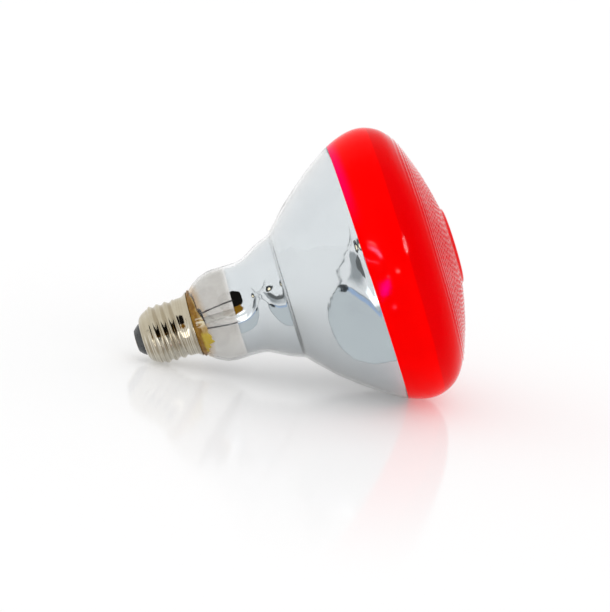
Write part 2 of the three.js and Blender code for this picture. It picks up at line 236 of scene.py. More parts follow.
def smooth_path(points, step=0.5, closed=False):
    """A centripetal Catmull-Rom line through the points, resampled at about equal steps."""
    p = np.asarray(points, float)
    p = np.vstack([2 * p[0] - p[1], p, 2 * p[-1] - p[-2]])
    out = []
    for i in range(1, len(p) - 2):
        q = p[i - 1:i + 3]
        t = np.concatenate([[0], np.cumsum(np.maximum(np.linalg.norm(np.diff(q, axis=0), axis=1), 1e-6) ** 0.5)])
        n = max(int(np.ceil(np.linalg.norm(q[2] - q[1]) / step)), 2)
        for u in np.linspace(t[1], t[2], n, endpoint=False):
            a1 = (t[1] - u) / (t[1] - t[0]) * q[0] + (u - t[0]) / (t[1] - t[0]) * q[1]
            a2 = (t[2] - u) / (t[2] - t[1]) * q[1] + (u - t[1]) / (t[2] - t[1]) * q[2]
            a3 = (t[3] - u) / (t[3] - t[2]) * q[2] + (u - t[2]) / (t[3] - t[2]) * q[3]
            b1 = (t[2] - u) / (t[2] - t[0]) * a1 + (u - t[0]) / (t[2] - t[0]) * a2
            b2 = (t[3] - u) / (t[3] - t[1]) * a2 + (u - t[1]) / (t[3] - t[1]) * a3
            out.append((t[2] - u) / (t[2] - t[1]) * b1 + (u - t[1]) / (t[2] - t[1]) * b2)
    out.append(p[-2])
    return np.array(out)


def tube(path, radius, sides=12, round_ends=True):
    """Points and faces of a round wire along a dense path; radius may be one number or one per point."""
    path = np.asarray(path, float)
    radius = np.broadcast_to(np.asarray(radius, float), (len(path),)).copy()
    tan = np.gradient(path, axis=0)
    tan /= np.linalg.norm(tan, axis=1, keepdims=True)
    if round_ends:
        r0, r1 = radius[0], radius[-1]
        steps = np.array([0.35, 0.72, 0.93])
        head = [(path[0] - tan[0] * r0 * (1 - k) ** 1.0 * 0.8, r0 * math.sqrt(1 - (1 - k) ** 2), tan[0]) for k in steps]
        tail = [(path[-1] + tan[-1] * r1 * (1 - k) * 0.8, r1 * math.sqrt(1 - (1 - k) ** 2), tan[-1]) for k in steps[::-1]]
        path = np.vstack([[h[0] for h in head], path, [h[0] for h in tail]])
        radius = np.concatenate([[h[1] for h in head], radius, [h[1] for h in tail]])
        tan = np.vstack([[h[2] for h in head], tan, [h[2] for h in tail]])
    up = np.array([0.0, 0.0, 1.0]) if abs(tan[0][2]) < 0.9 else np.array([1.0, 0.0, 0.0])
    u = np.cross(tan[0], up)
    u /= np.linalg.norm(u)
    us = [u]
    for i in range(1, len(path)):
        u = us[-1] - tan[i] * (us[-1] @ tan[i])
        us.append(u / np.linalg.norm(u))
    us = np.array(us)
    vs = np.cross(tan, us)
    a = 2 * PI * np.arange(sides) / sides
    ring = path[:, None, :] + radius[:, None, None] * (np.cos(a)[None, :, None] * us[:, None, :] + np.sin(a)[None, :, None] * vs[:, None, :])
    pts = ring.reshape(-1, 3)
    faces = [grid_faces(len(path), sides)]
    n = len(pts)
    pts = np.vstack([pts, path[0] - tan[0] * radius[0] * 0.05, path[-1] + tan[-1] * radius[-1] * 0.05])
    j = np.arange(sides)
    faces.append(np.stack([np.full(sides, n), (j + 1) % sides, j], -1))
    base = (len(path) - 1) * sides
    faces.append(np.stack([np.full(sides, n + 1), base + j, base + (j + 1) % sides], -1))
    return pts, faces


def wave(x, y, seed, scale):
    """Smooth bumpy field in -1..1, the same each run."""
    g = np.random.default_rng(seed)
    out = np.zeros_like(np.asarray(x, float) + np.asarray(y, float))
    total = 0
    for octave in range(4):
        for _ in range(3):
            a, ph = g.uniform(0, 2 * PI, 2)
            f = scale * 2 ** octave * g.uniform(0.8, 1.2)
            k = 0.6 ** octave
            out = out + k * np.sin(f * (x * math.cos(a) + y * math.sin(a)) + ph)
            total += k
    return out / total * 1.6


def sstep(a, b, x):
    t = np.clip((np.asarray(x, float) - a) / (b - a), 0, 1)
    return t * t * (3 - 2 * t)


# ------------------------------------------------------------------ material helpers
class Mat:
    """Small builder for node materials on one Principled shader."""

    def __init__(self, name):
        self.m = bpy.data.materials.new(name)
        self.m.use_nodes = True
        self.t = self.m.node_tree
        self.t.nodes.clear()
        self.out = self.t.nodes.new("ShaderNodeOutputMaterial")
        self.b = self.t.nodes.new("ShaderNodeBsdfPrincipled")
        self.t.links.new(self.b.outputs[0], self.out.inputs["Surface"])

    def set(self, **kw):
        for k, v in kw.items():
            self.b.inputs[k.replace("_", " ")].default_value = v
        return self

    def link(self, a, socket):
        self.t.links.new(a, socket)

    def to(self, socket, value):
        self.t.links.new(value, self.b.inputs[socket])
        return self

    def lamp(self):
        n = self.t.nodes.new("ShaderNodeAttribute")
        n.attribute_name = "lamp"
        sp = self.t.nodes.new("ShaderNodeSeparateXYZ")
        self.link(n.outputs["Vector"], sp.inputs[0])
        return n.outputs["Vector"], sp.outputs[0], sp.outputs[1], sp.outputs[2]

    def object_mm(self):
        """Row-frame position in millimetres, for pieces without the lamp attribute."""
        c = self.t.nodes.new("ShaderNodeTexCoord")
        v = self.t.nodes.new("ShaderNodeVectorMath")
        v.operation = "SCALE"
        v.inputs["Scale"].default_value = 1000
        self.link(c.outputs["Object"], v.inputs[0])
        return v.outputs[0]

    def scaled(self, vec, s):
        v = self.t.nodes.new("ShaderNodeVectorMath")
        v.operation = "MULTIPLY"
        v.inputs[1].default_value = s
        self.link(vec, v.inputs[0])
        return v.outputs[0]

    def dot(self, vec, direction):
        n = self.t.nodes.new("ShaderNodeVectorMath")
        n.operation = "DOT_PRODUCT"
        n.inputs[1].default_value = tuple(direction)
        self.link(vec, n.inputs[0])
        return n.outputs["Value"]

    def math(self, op, a, b=None, c=None, clamp=False):
        n = self.t.nodes.new("ShaderNodeMath")
        n.operation = op
        n.use_clamp = clamp
        for i, v in enumerate((a, b, c)):
            if v is None:
                continue
            if isinstance(v, (int, float)):
                n.inputs[i].default_value = v
            else:
                self.link(v, n.inputs[i])
        return n.outputs[0]

    def noise(self, vec, scale, detail=4, rough=0.55, distortion=0.0):
        n = self.t.nodes.new("ShaderNodeTexNoise")
        n.inputs["Scale"].default_value = scale
        n.inputs["Detail"].default_value = detail
        n.inputs["Roughness"].default_value = rough
        n.inputs["Distortion"].default_value = distortion
        self.link(vec, n.inputs["Vector"])
        return n.outputs["Fac"]

    def voronoi(self, vec, scale, feature="F1", out="Distance"):
        n = self.t.nodes.new("ShaderNodeTexVoronoi")
        n.feature = feature
        n.inputs["Scale"].default_value = scale
        self.link(vec, n.inputs["Vector"])
        return n.outputs[out]

    def ramp(self, fac, stops, interp="LINEAR"):
        n = self.t.nodes.new("ShaderNodeValToRGB")
        n.color_ramp.interpolation = interp
        el = n.color_ramp.elements
        while len(el) < len(stops):
            el.new(0.5)
        for e, (pos, col) in zip(el, stops):
            e.position = pos
            e.color = (col, col, col, 1) if isinstance(col, (int, float)) else (*col, 1)
        self.link(fac, n.inputs["Fac"])
        return n.outputs["Color"]

    def span(self, value, a, b, lo=0.0, hi=1.0, smooth=True):
        n = self.t.nodes.new("ShaderNodeMapRange")
        n.interpolation_type = "SMOOTHSTEP" if smooth else "LINEAR"
        n.clamp = True
        n.inputs["From Min"].default_value = a
        n.inputs["From Max"].default_value = b
        n.inputs["To Min"].default_value = lo
        n.inputs["To Max"].default_value = hi
        self.link(value, n.inputs["Value"])
        return n.outputs[0]

    def mix(self, fac, a, b, mode="MIX"):
        n = self.t.nodes.new("ShaderNodeMix")
        n.data_type = "RGBA"
        n.blend_type = mode
        fs = [i for i in n.inputs if i.name == "Factor" and i.type == "VALUE"][0]
        ca = [i for i in n.inputs if i.name == "A" and i.type == "RGBA"][0]
        cb = [i for i in n.inputs if i.name == "B" and i.type == "RGBA"][0]
        for sock, v in ((fs, fac), (ca, a), (cb, b)):
            if isinstance(v, (int, float)):
                sock.default_value = v
            elif isinstance(v, tuple):
                sock.default_value = (*v, 1)
            else:
                self.link(v, sock)
        return [o for o in n.outputs if o.type == "RGBA"][0]

    def bump(self, height, strength, distance=0.0001, normal=None):
        n = self.t.nodes.new("ShaderNodeBump")
        n.inputs["Strength"].default_value = strength
        n.inputs["Distance"].default_value = distance
        self.link(height, n.inputs["Height"])
        if normal is not None:
            self.link(normal, n.inputs["Normal"])
        return n.outputs[0]


def ring_coords(m):
    """(lamp vector, x, s, z, radius, turn) sockets."""
    vec, x, s, z = m.lamp()
    r = m.math("SQRT", m.math("ADD", m.math("MULTIPLY", x, x), m.math("MULTIPLY", z, z)))
    turn = m.math("ARCTAN2", x, z)
    return vec, x, s, z, r, turn


def cylinder_vector(m, s, r, turn, ks, kt):
    """Coordinates stretched along the turning direction, for spun or rolled marks."""
    c = m.t.nodes.new("ShaderNodeCombineXYZ")
    m.link(m.math("MULTIPLY", s, ks), c.inputs[0])
    m.link(m.math("MULTIPLY", m.math("COSINE", turn), kt), c.inputs[1])
    m.link(m.math("MULTIPLY", m.math("SINE", turn), kt), c.inputs[2])
    return c.outputs[0]


# ------------------------------------------------------------------ materials
def nickel():
    m = Mat("nickel plate")
    vec, x, s, z, r, turn = ring_coords(m)
    cloud = m.noise(m.scaled(vec, (0.16, 0.16, 0.16)), 1.0, 5)
    fine = m.noise(cylinder_vector(m, s, r, turn, 9.0, 2.0), 1.0, 3)
    spots = m.noise(m.scaled(vec, (1.3, 1.3, 1.3)), 1.0, 6, 0.7)
    # painted shade: the colour darkens down in the thread roots, which are also a little rougher
    root = m.span(r, 12.25, 12.9, 1.0, 0.0)
    root = m.math("MULTIPLY", root, m.span(s, 8.5, 10.0))
    col = m.ramp(cloud, [(0.3, (0.455, 0.405, 0.300)), (0.55, (0.505, 0.455, 0.345)), (0.75, (0.545, 0.505, 0.410))])
    col = m.mix(m.math("MULTIPLY", root, 0.55), col, (0.27, 0.215, 0.13))
    col = m.mix(m.span(spots, 0.60, 0.74, 0, 0.35), col, (0.26, 0.21, 0.14))
    lines = m.noise(cylinder_vector(m, s, r, turn, 2.1, 0.35), 1.0, 2, 0.6)
    # painted shade: a darker band just below the side that faces the viewer; further down the plate is painted lighter,
    # a painted reflection
    band = m.math("MULTIPLY", m.span(turn, 1.50, 1.66), m.span(turn, 1.95, 2.2, 1.0, 0.0))
    col = m.mix(m.math("MULTIPLY", band, 0.45), col, (0.30, 0.25, 0.19))
    col = m.mix(m.math("MULTIPLY", m.span(turn, 1.95, 2.3), 0.6), col, (0.66, 0.64, 0.57))
    # fine turning lines, drawn as darker and lighter stripes that grow strongest towards the side facing the viewer:
    # painted reflection on real turning marks
    stripe_painted_reflection = m.math("MULTIPLY", m.span(lines, 0.50, 0.60), m.span(turn, 1.15, 1.5, 0.08, 0.42))
    col = m.mix(stripe_painted_reflection, col, (0.24, 0.195, 0.13))
    stripe_painted_reflection = m.math("MULTIPLY", m.span(lines, 0.40, 0.48, 1.0, 0.0), m.span(turn, 1.15, 1.5, 0.05, 0.6))
    col = m.mix(stripe_painted_reflection, col, (0.76, 0.73, 0.64))
    m.to("Base Color", col)
    rough = m.math("ADD", m.span(cloud, 0.3, 0.7, 0.03, 0.07), m.span(fine, 0.35, 0.7, 0.0, 0.05))
    m.to("Roughness", m.math("ADD", rough, m.math("MULTIPLY", root, 0.05)))
    m.set(Metallic=1.0)
    h = m.math("ADD", m.math("MULTIPLY", fine, 0.5), m.math("MULTIPLY", spots, 0.5))
    m.to("Normal", m.bump(h, 0.22, 0.00005))
    return m.m


def black_glass():
    m = Mat("black glass")
    vec, x, s, z, r, turn = ring_coords(m)
    cloud = m.noise(m.scaled(vec, (0.5, 0.5, 0.5)), 1.0, 5)
    grit = m.voronoi(m.scaled(vec, (2.4, 2.4, 2.4)), 1.0)
    col = m.ramp(cloud, [(0.3, (0.020, 0.022, 0.024)), (0.7, (0.055, 0.060, 0.062))])
    col = m.mix(m.span(grit, 0.0, 0.14, 0.55, 0.0), col, (0.20, 0.20, 0.19))
    m.to("Base Color", col)
    m.to("Roughness", m.span(cloud, 0.3, 0.7, 0.22, 0.42))
    m.to("Normal", m.bump(m.math("ADD", cloud, m.span(grit, 0, 0.2, 0, 0.4)), 0.35, 0.00012))
    return m.m


def brass():
    m = Mat("contact brass")
    vec, x, s, z, r, turn = ring_coords(m)
    cloud = m.noise(m.scaled(vec, (0.7, 0.7, 0.7)), 1.0, 5)
    scratch = m.noise(m.scaled(vec, (0.5, 0.5, 7.0)), 1.0, 4)
    col = m.ramp(cloud, [(0.3, (0.62, 0.47, 0.24)), (0.7, (0.83, 0.70, 0.43))])
    col = m.mix(m.span(r, 2.6, 3.9, 0.0, 0.45), col, (0.36, 0.25, 0.12))
    m.to("Base Color", col)
    m.to("Roughness", m.span(scratch, 0.3, 0.7, 0.18, 0.38))
    m.set(Metallic=1.0)
    m.to("Normal", m.bump(scratch, 0.25, 0.00006))
    return m.m


def solder():
    m = Mat("tin solder")
    vec, x, s, z, r, turn = ring_coords(m)
    cloud = m.noise(m.scaled(vec, (1.4, 1.4, 1.4)), 1.0, 5)
    frost = m.voronoi(m.scaled(vec, (5.0, 5.0, 5.0)), 1.0)
    m.to("Base Color", m.ramp(cloud, [(0.3, (0.50, 0.51, 0.52)), (0.7, (0.76, 0.77, 0.77))]))
    m.to("Roughness", m.span(frost, 0.1, 0.7, 0.22, 0.48))
    m.set(Metallic=1.0)
    m.to("Normal", m.bump(m.math("ADD", cloud, frost), 0.4, 0.00008))
    return m.m


def cement():
    m = Mat("basing cement")
    vec, x, s, z, r, turn = ring_coords(m)
    lump = m.noise(m.scaled(vec, (0.45, 0.45, 0.45)), 1.0, 6, 0.6)
    grit = m.noise(m.scaled(vec, (3.4, 3.4, 3.4)), 1.0, 5, 0.65)
    amber = m.ramp(lump, [(0.28, (0.150, 0.062, 0.003)), (0.5, (0.225, 0.105, 0.007)), (0.74, (0.33, 0.18, 0.018))])
    tan = m.ramp(lump, [(0.3, (0.30, 0.175, 0.048)), (0.5, (0.385, 0.255, 0.092)), (0.7, (0.50, 0.37, 0.175))])
    wide = m.math("MULTIPLY", m.span(turn, 0.2, 1.1), 1.5)
    col = m.mix(m.span(m.math("SUBTRACT", m.math("ADD", s, m.math("MULTIPLY", lump, 1.2)), wide), 28.5, 29.2), amber, tan)
    yellow = m.ramp(grit, [(0.3, (0.34, 0.205, 0.008)), (0.5, (0.46, 0.33, 0.030)), (0.7, (0.60, 0.48, 0.13))])
    low = m.math("MULTIPLY", m.span(turn, 1.62, 1.74), m.span(m.math("ADD", s, m.math("MULTIPLY", lump, 1.5)), 29.2, 30.4))
    col = m.mix(low, col, yellow)
    # painted highlight: a pale streak across the bead near the rim, and painted light on the faces turned in towards
    # the glass
    highlight_streak = m.noise(cylinder_vector(m, s, r, turn, 0.25, 26.0), 1.0, 3, 0.6)
    pale = m.math("MULTIPLY", m.math("MULTIPLY", m.span(turn, 1.22, 1.34), m.span(turn, 1.44, 1.56, 1.0, 0.0)), m.span(highlight_streak, 0.46, 0.58))
    pale = m.math("MULTIPLY", pale, m.span(s, 27.9, 28.6))
    col = m.mix(m.math("MULTIPLY", pale, 0.85), col, (0.78, 0.70, 0.52))
    # painted light: faces turned in towards the glass are drawn pale
    geo = m.t.nodes.new("ShaderNodeNewGeometry")
    out_x = m.math("MULTIPLY", m.dot(geo.outputs["Normal"], SIDE), x)
    out_z = m.math("MULTIPLY", m.dot(geo.outputs["Normal"], TOP), z)
    col = m.mix(m.span(m.math("DIVIDE", m.math("ADD", out_x, out_z), r), -0.25, 0.0, 1.0, 0.0), col, (0.92, 0.80, 0.62))
    m.to("Base Color", col)
    m.to("Roughness", m.span(grit, 0.3, 0.7, 0.16, 0.42))
    m.set(Subsurface_Weight=0.12, Subsurface_Radius=(0.0012, 0.0006, 0.0002), Subsurface_Scale=1.0, Specular_IOR_Level=0.22)
    m.to("Normal", m.bump(m.math("ADD", lump, m.math("MULTIPLY", grit, 0.4)), 0.45, 0.00018))
    return m.m


def envelope_glass():
    m = Mat("blown glass")
    vec, x, s, z, r, turn = ring_coords(m)
    neck = m.span(s, 43.5, 47.0, 1.0, 0.0)
    cloud = m.noise(m.scaled(vec, (0.06, 0.06, 0.06)), 1.0, 3)
    neck_tint = m.mix(m.span(cloud, 0.3, 0.7), (0.67, 0.66, 0.635), (0.76, 0.75, 0.73))
    blot = m.noise(m.scaled(vec, (0.35, 0.35, 0.35)), 1.0, 4)
    stain = m.span(m.math("SUBTRACT", s, m.math("MULTIPLY", blot, 3.0)), 27.2, 30.4, 1.0, 0.0)
    # painted light: the neck glass is drawn lighter low on the side towards the viewer
    neck_tint = m.mix(m.span(turn, 1.65, 2.2, 0.0, 0.8), neck_tint, (0.86, 0.86, 0.855))
    neck_tint = m.mix(m.math("MULTIPLY", stain, 0.75), neck_tint, (0.60, 0.40, 0.18))
    m.to("Base Color", m.mix(neck, (0.965, 0.975, 0.98), neck_tint))
    draw = m.noise(cylinder_vector(m, s, r, turn, 0.10, 1.4), 1.0, 3)
    m.to("Roughness", m.span(cloud, 0.3, 0.7, 0.0, 0.012))
    m.set(Transmission_Weight=1.0, IOR=1.5)
    m.to("Normal", m.bump(draw, 0.10, 0.0006))
    return m.m


def stem_glass():
    m = Mat("stem glass")
    vec, x, s, z, r, turn = ring_coords(m)
    seed = m.voronoi(m.scaled(vec, (0.9, 0.9, 0.9)), 1.0)
    cloud = m.noise(m.scaled(vec, (0.3, 0.3, 0.3)), 1.0, 3)
    m.to("Base Color", m.mix(m.span(cloud, 0.3, 0.7), (0.80, 0.80, 0.77), (0.90, 0.90, 0.88)))
    m.to("Roughness", m.span(cloud, 0.3, 0.7, 0.0, 0.03))
    m.set(Transmission_Weight=1.0, IOR=1.54)
    m.to("Normal", m.bump(m.math("ADD", cloud, m.span(seed, 0.0, 0.2, 0.6, 0.0)), 0.25, 0.0004))
    return m.m


def mirror():
    m = Mat("aluminium film")
    vec, x, s, z, r, turn = ring_coords(m)
    cloud = m.noise(m.scaled(vec, (0.035, 0.035, 0.035)), 1.0, 3)
    streak = m.noise(cylinder_vector(m, s, r, turn, 0.25, 2.2), 1.0, 4)
    col = m.mix(m.span(cloud, 0.35, 0.65), (0.675, 0.705, 0.725), (0.715, 0.745, 0.76))
    thin = m.math("MULTIPLY", m.span(s, 45.4, 48.5, 1.0, 0.0), m.span(streak, 0.35, 0.7))
    col = m.mix(m.math("MULTIPLY", thin, 0.35), col, (0.45, 0.46, 0.46))
    # painted shade: the film is drawn darker along the groove of the waist, most of all on the underside
    groove_painted_shade = m.math("MULTIPLY", m.span(s, 68.2, 69.2), m.span(s, 69.6, 71.0, 1.0, 0.0))
    groove_painted_shade = m.math("MULTIPLY", groove_painted_shade, m.span(z, -22, 14, 0.95, 0.28))
    col = m.mix(groove_painted_shade, col, (0.20, 0.21, 0.21))
    m.to("Base Color", col)
    m.to("Roughness", m.math("ADD", m.span(cloud, 0.3, 0.7, 0.025, 0.05), m.span(streak, 0.5, 0.8, 0.0, 0.02)))
    m.set(Metallic=1.0)
    m.to("Normal", m.bump(streak, 0.05, 0.0006))
    return m.m


def lacquer():
    m = Mat("red lacquer")
    vec, x, s, z, r, turn = ring_coords(m)
    cloud = m.noise(m.scaled(vec, (0.05, 0.05, 0.05)), 1.0, 4)
    peel = m.noise(m.scaled(vec, (0.3, 0.3, 0.3)), 1.0, 2)
    speck = m.noise(m.scaled(vec, (2.2, 2.2, 2.2)), 1.0, 2)
    blotch = m.noise(m.scaled(vec, (0.9, 0.9, 0.9)), 1.0, 3)
    # the film behind it ends in a ring: brighter red before it, deeper after
    back = m.span(m.math("ADD", s, m.math("MULTIPLY", cloud, 1.2)), 122.4, 123.4)
    bright = m.mix(m.span(cloud, 0.35, 0.65), (0.96, 0.0, 0.0), (1.0, 0.0, 0.0))
    deep = m.mix(m.span(speck, 0.3, 0.7), (0.77, 0.0, 0.0), (0.83, 0.0, 0.002))
    col = m.mix(back, bright, deep)
    # moulded zone: the coat lies unevenly on the pips
    upper = m.span(z, 26, 50)
    zone = m.span(m.math("SUBTRACT", m.math("ADD", r, m.math("MULTIPLY", blotch, 3.0)), m.math("MULTIPLY", upper, 5.0)), 46.5, 55.5, 1.0, 0.0)
    zone = m.math("MULTIPLY", zone, m.span(m.math("ADD", s, m.math("MULTIPLY", upper, 4.0)), 128.0, 132.0))
    disc = m.span(r, 17.4, 18.6)
    uneven = m.mix(m.span(speck, 0.35, 0.65), (0.56, 0.0, 0.004), (0.74, 0.0, 0.006))
    col = m.mix(m.math("MULTIPLY", zone, m.math("MULTIPLY", disc, 0.8)), col, uneven)
    # painted reflection: a cooler, pinker tint along the upper part of the edge
    lean = m.math("ADD", s, m.math("MULTIPLY", z, EDGE_TILT / 57.5))
    edge = m.math("MULTIPLY", m.span(lean, RED_EDGE + 0.3, RED_EDGE + 5.0, 1.0, 0.0), m.span(z, 28, 50))
    col = m.mix(m.math("MULTIPLY", edge, 0.9), col, (0.95, 0.0, 0.105))
    m.to("Base Color", col)
    m.to("Roughness", m.span(peel, 0.3, 0.7, 0.068, 0.080))
    m.set(IOR=1.07, Coat_IOR=1.22, Coat_Roughness=0.06)
    m.to("Coat Weight", m.math("MULTIPLY", zone, m.span(blotch, 0.3, 0.7, 0.75, 1.0)))
    m.to("Normal", m.bump(peel, 0.03, 0.0004))
    return m.m


def wire_metal(name, base_a, base_b, rough, band=None):
    m = Mat(name)
    vec, x, s, z, r, turn = ring_coords(m)
    cloud = m.noise(m.scaled(vec, (1.1, 0.5, 1.1)), 1.0, 5)
    draw = m.noise(m.scaled(vec, (6.0, 0.35, 6.0)), 1.0, 3)
    col = m.mix(m.span(cloud, 0.35, 0.65), base_a, base_b)
    if band:
        a, b, tint = band
        col = m.mix(m.math("MULTIPLY", m.span(s, a, (a + b) / 2), m.span(s, (a + b) / 2, b, 1.0, 0.0)), col, tint)
    m.to("Base Color", col)
    m.to("Roughness", m.span(draw, 0.3, 0.7, rough * 0.75, rough * 1.3))
    m.set(Metallic=1.0)
    m.to("Normal", m.bump(m.math("ADD", draw, cloud), 0.25, 0.00005))
    return m.m


def node_metal(name, base_a, base_b, rough):
    """For carried-over CAD nodes: the same sort of metal on row-frame coordinates."""
    m = Mat(name)
    vec = m.object_mm()
    cloud = m.noise(m.scaled(vec, (1.3, 1.3, 1.3)), 1.0, 5)
    m.to("Base Color", m.mix(m.span(cloud, 0.35, 0.65), base_a, base_b))
    m.to("Roughness", m.span(cloud, 0.3, 0.7, rough * 0.7, rough * 1.3))
    m.set(Metallic=1.0)
    m.to("Normal", m.bump(cloud, 0.25, 0.00005))
    return m.m


def sleeve_glass():
    m = Mat("fuse sleeve glass")
    vec = m.object_mm()
    cloud = m.noise(m.scaled(vec, (0.9, 0.9, 0.9)), 1.0, 5)
    grain = m.voronoi(m.scaled(vec, (2.5, 2.5, 2.5)), 1.0)
    m.to("Base Color", m.mix(m.span(cloud, 0.35, 0.65), (0.68, 0.64, 0.50), (0.82, 0.79, 0.68)))
    m.to("Roughness", m.span(grain, 0.1, 0.7, 0.18, 0.4))
    m.to("Normal", m.bump(m.math("ADD", cloud, grain), 0.3, 0.0001))
    return m.m


NICKEL, BLACK_GLASS, BRASS, SOLDER, CEMENT = nickel(), black_glass(), brass(), solder(), cement()
GLASS, STEM, MIRROR, LACQUER = envelope_glass(), stem_glass(), mirror(), lacquer()
LEAD = wire_metal("nickel iron lead", (0.22, 0.22, 0.23), (0.36, 0.36, 0.37), 0.34, band=(29.0, 36.0, (0.20, 0.16, 0.20)))
COPPER = wire_metal("tinned copper", (0.62, 0.33, 0.20), (0.78, 0.50, 0.36), 0.3)
TUNGSTEN = wire_metal("tungsten", (0.10, 0.10, 0.11), (0.22, 0.22, 0.23), 0.45)
MOLY = wire_metal("molybdenum", (0.34, 0.34, 0.36), (0.50, 0.50, 0.52), 0.38)


# ------------------------------------------------------------------ cap
THREAD_MEAN, THREAD_AMP, PITCH, PHASE = (13.1 + 12.15) / 2, 0.475, 3.629, 9.4
THREAD_FROM, THREAD_TO = 8.0, 22.9


def thread_radius(s, phi):
    run = sstep(THREAD_FROM - 0.2, THREAD_FROM + 1.1, s) * (1 - sstep(20.1, 21.5, s))
    lead = (1 - sstep(THREAD_FROM, THREAD_FROM + 1.6, s)) * -0.45 + sstep(20.4, 21.6, s) * 0.3
    turn = (phi + PI) % (2 * PI) - PI
    # the winding carries on round the back without a step
    ridge = np.cos(2 * PI * (s - PHASE) / PITCH - turn)
    return THREAD_MEAN + lead + THREAD_AMP * run * ridge


def build_cap():
    tip = [(3.75, 7.72), (3.55, 7.62), (3.32, 7.72), (3.3, 7.95), (3.42, 8.35), (3.62, 8.85), (3.95, 9.4), (4.4, 9.95),
           (4.95, 10.45), (5.6, 10.92), (6.3, 11.3), (6.95, 11.62), (7.5, 11.88)]
    body = [(s, THREAD_MEAN) for s in np.arange(THREAD_FROM, THREAD_TO + 1e-6, 0.22)]
    skirt = [(23.3, THREAD_MEAN + 0.31), (23.8, THREAD_MEAN + 0.34), (24.2, 13.04), (24.7, 13.28), (25.2, 13.62), (25.7, 14.02), (26.15, 14.38),
             (26.42, 14.52), (26.6, 14.55), (26.68, 14.48), (26.7, 14.36), (26.62, 14.25)]
    inside = [(26.3, 14.02), (25.8, 13.74), (25.0, 13.36), (24.2, 13.02), (23.2, 12.62), (22.2, 12.2), (21.0, 11.82),
              (16.0, 11.7), (9.0, 11.6), (7.6, 11.34), (6.6, 10.92), (5.6, 10.32), (4.8, 9.62), (4.2, 8.85), (3.92, 8.2)]
    outline = tip + body + skirt + inside
    s = [p[0] for p in outline]
    r = [p[1] for p in outline]
    first, last = len(tip), len(tip) + len(body)

    def shape(S, R, P):
        R = R.copy()
        R[first:last] = thread_radius(S[first:last], P[first:last])
        # small dents and a slightly uneven rolled edge
        R = R + 0.02 * wave(P * 3.0, S * 0.35, 5, 1.0) * (R > 10)
        rim = sstep(25.4, 26.4, S)
        S = S + 0.05 * rim * wave(P * 2.2, P * 0, 9, 1.0)
        return S, R

    pts, faces = lathe(s, r, 192, shape)
    make("cap_shell_rolled", pts, faces, NICKEL, 50, ["cap_shell"])


def build_cap_end():
    ins = [(2.6, 1.5), (2.6, 4.15), (2.75, 4.3), (4.8, 6.4), (7.1, 9.9), (7.2, 10.35), (7.05, 10.6), (5.7, 9.9), (4.9, 9.1),
           (4.35, 8.35), (3.95, 7.5), (3.6, 7.42), (3.2, 7.28), (2.6, 6.95), (1.9, 6.4), (1.2, 5.75), (0.75, 5.3),
           (0.45, 5.0), (0.25, 4.78), (0.15, 4.58), (0.15, 4.36), (0.22, 4.26), (0.5, 4.22), (0.8, 4.2), (0.8, 1.55)]
    a = np.array(ins)

    def shape(S, R, P):
        facing = (S < 3.0) & (R > 4.7)
        R = R + 0.05 * wave(P * 2.0, S, 3, 1.2) * facing
        S = S + 0.04 * wave(P * 2.6, R * 0.5, 4, 1.0) * facing
        return S, R

    pts, faces = lathe(a[:, 0], a[:, 1], 96, shape)
    make("cap_insulator_cast", pts, faces, BLACK_GLASS, 45, ["cap_insulator"])

    w = [(0.5, 1.45), (0.5, 3.86), (0.42, 3.95), (0.2, 3.98), (0.07, 3.9), (0.0, 3.72), (0.0, 3.2), (0.03, 2.6), (0.1, 2.0),
         (0.16, 1.6), (0.24, 1.46), (0.4, 1.42)]
    a = np.array(w)
    pts, faces = lathe(a[:, 0], a[:, 1], 72)
    make("centre_contact_pressed", pts, faces, BRASS, 40, ["centre_contact"])

    b = [(1.1, 0.0), (1.1, 0.6), (0.95, 1.0), (0.6, 1.15), (0.3, 1.2), (0.2, 1.34), (0.12, 1.36), (0.06, 1.2), (0.03, 0.9),
         (0.02, 0.55), (0.06, 0.25), (0.1, 0.0)]
    a = np.array(b)
    pts, faces = lathe(a[:, 0], a[:, 1], 40, lambda S, R, P: (S + 0.03 * wave(P, R * 2, 8, 1.3) * (R < 1.3) * (S < 0.3), R * (1 + 0.05 * wave(P * 1.5, S, 6, 1.0))))
    make("centre_solder_dome", pts, faces, SOLDER, 50, ["centre_solder"])

    # side solder: a flattened, slightly lumpy bead along the skirt at the back
    n, k = 26, 28
    u = np.linspace(0, PI, n)
    v = 2 * PI * np.arange(k) / k
    U, V = np.meshgrid(u, v, indexing="ij")
    half_l, half_w, half_h = 1.25, 0.72, 0.42
    X = half_h * np.sin(U) * np.cos(V)
    Z = half_w * np.sin(U) * np.sin(V)
    Y = half_l * np.cos(U)
    lump = 1 + 0.09 * wave(U * 2.4, V * 1.2, 12, 1.1) * np.sin(U)
    X, Z = X * lump, Z * lump
    c, d = math.cos(-0.42), math.sin(-0.42)
    px, py = X * c - Y * d, X * d + Y * c
    pts = np.stack([px - 14.72, py + 24.95, Z], -1)
    inner = pts[1:-1].reshape(-1, 3)
    faces = [grid_faces(n - 2, k)]
    m = len(inner)
    inner = np.vstack([inner, pts[0, 0], pts[-1, 0]])
    j = np.arange(k)
    faces.append(np.stack([np.full(k, m), (j + 1) % k, j], -1))
    base = (n - 3) * k
    faces.append(np.stack([np.full(k, m + 1), base + j, base + (j + 1) % k], -1))
    make("side_solder_bead", inner, faces, SOLDER, 60, ["side_solder"])


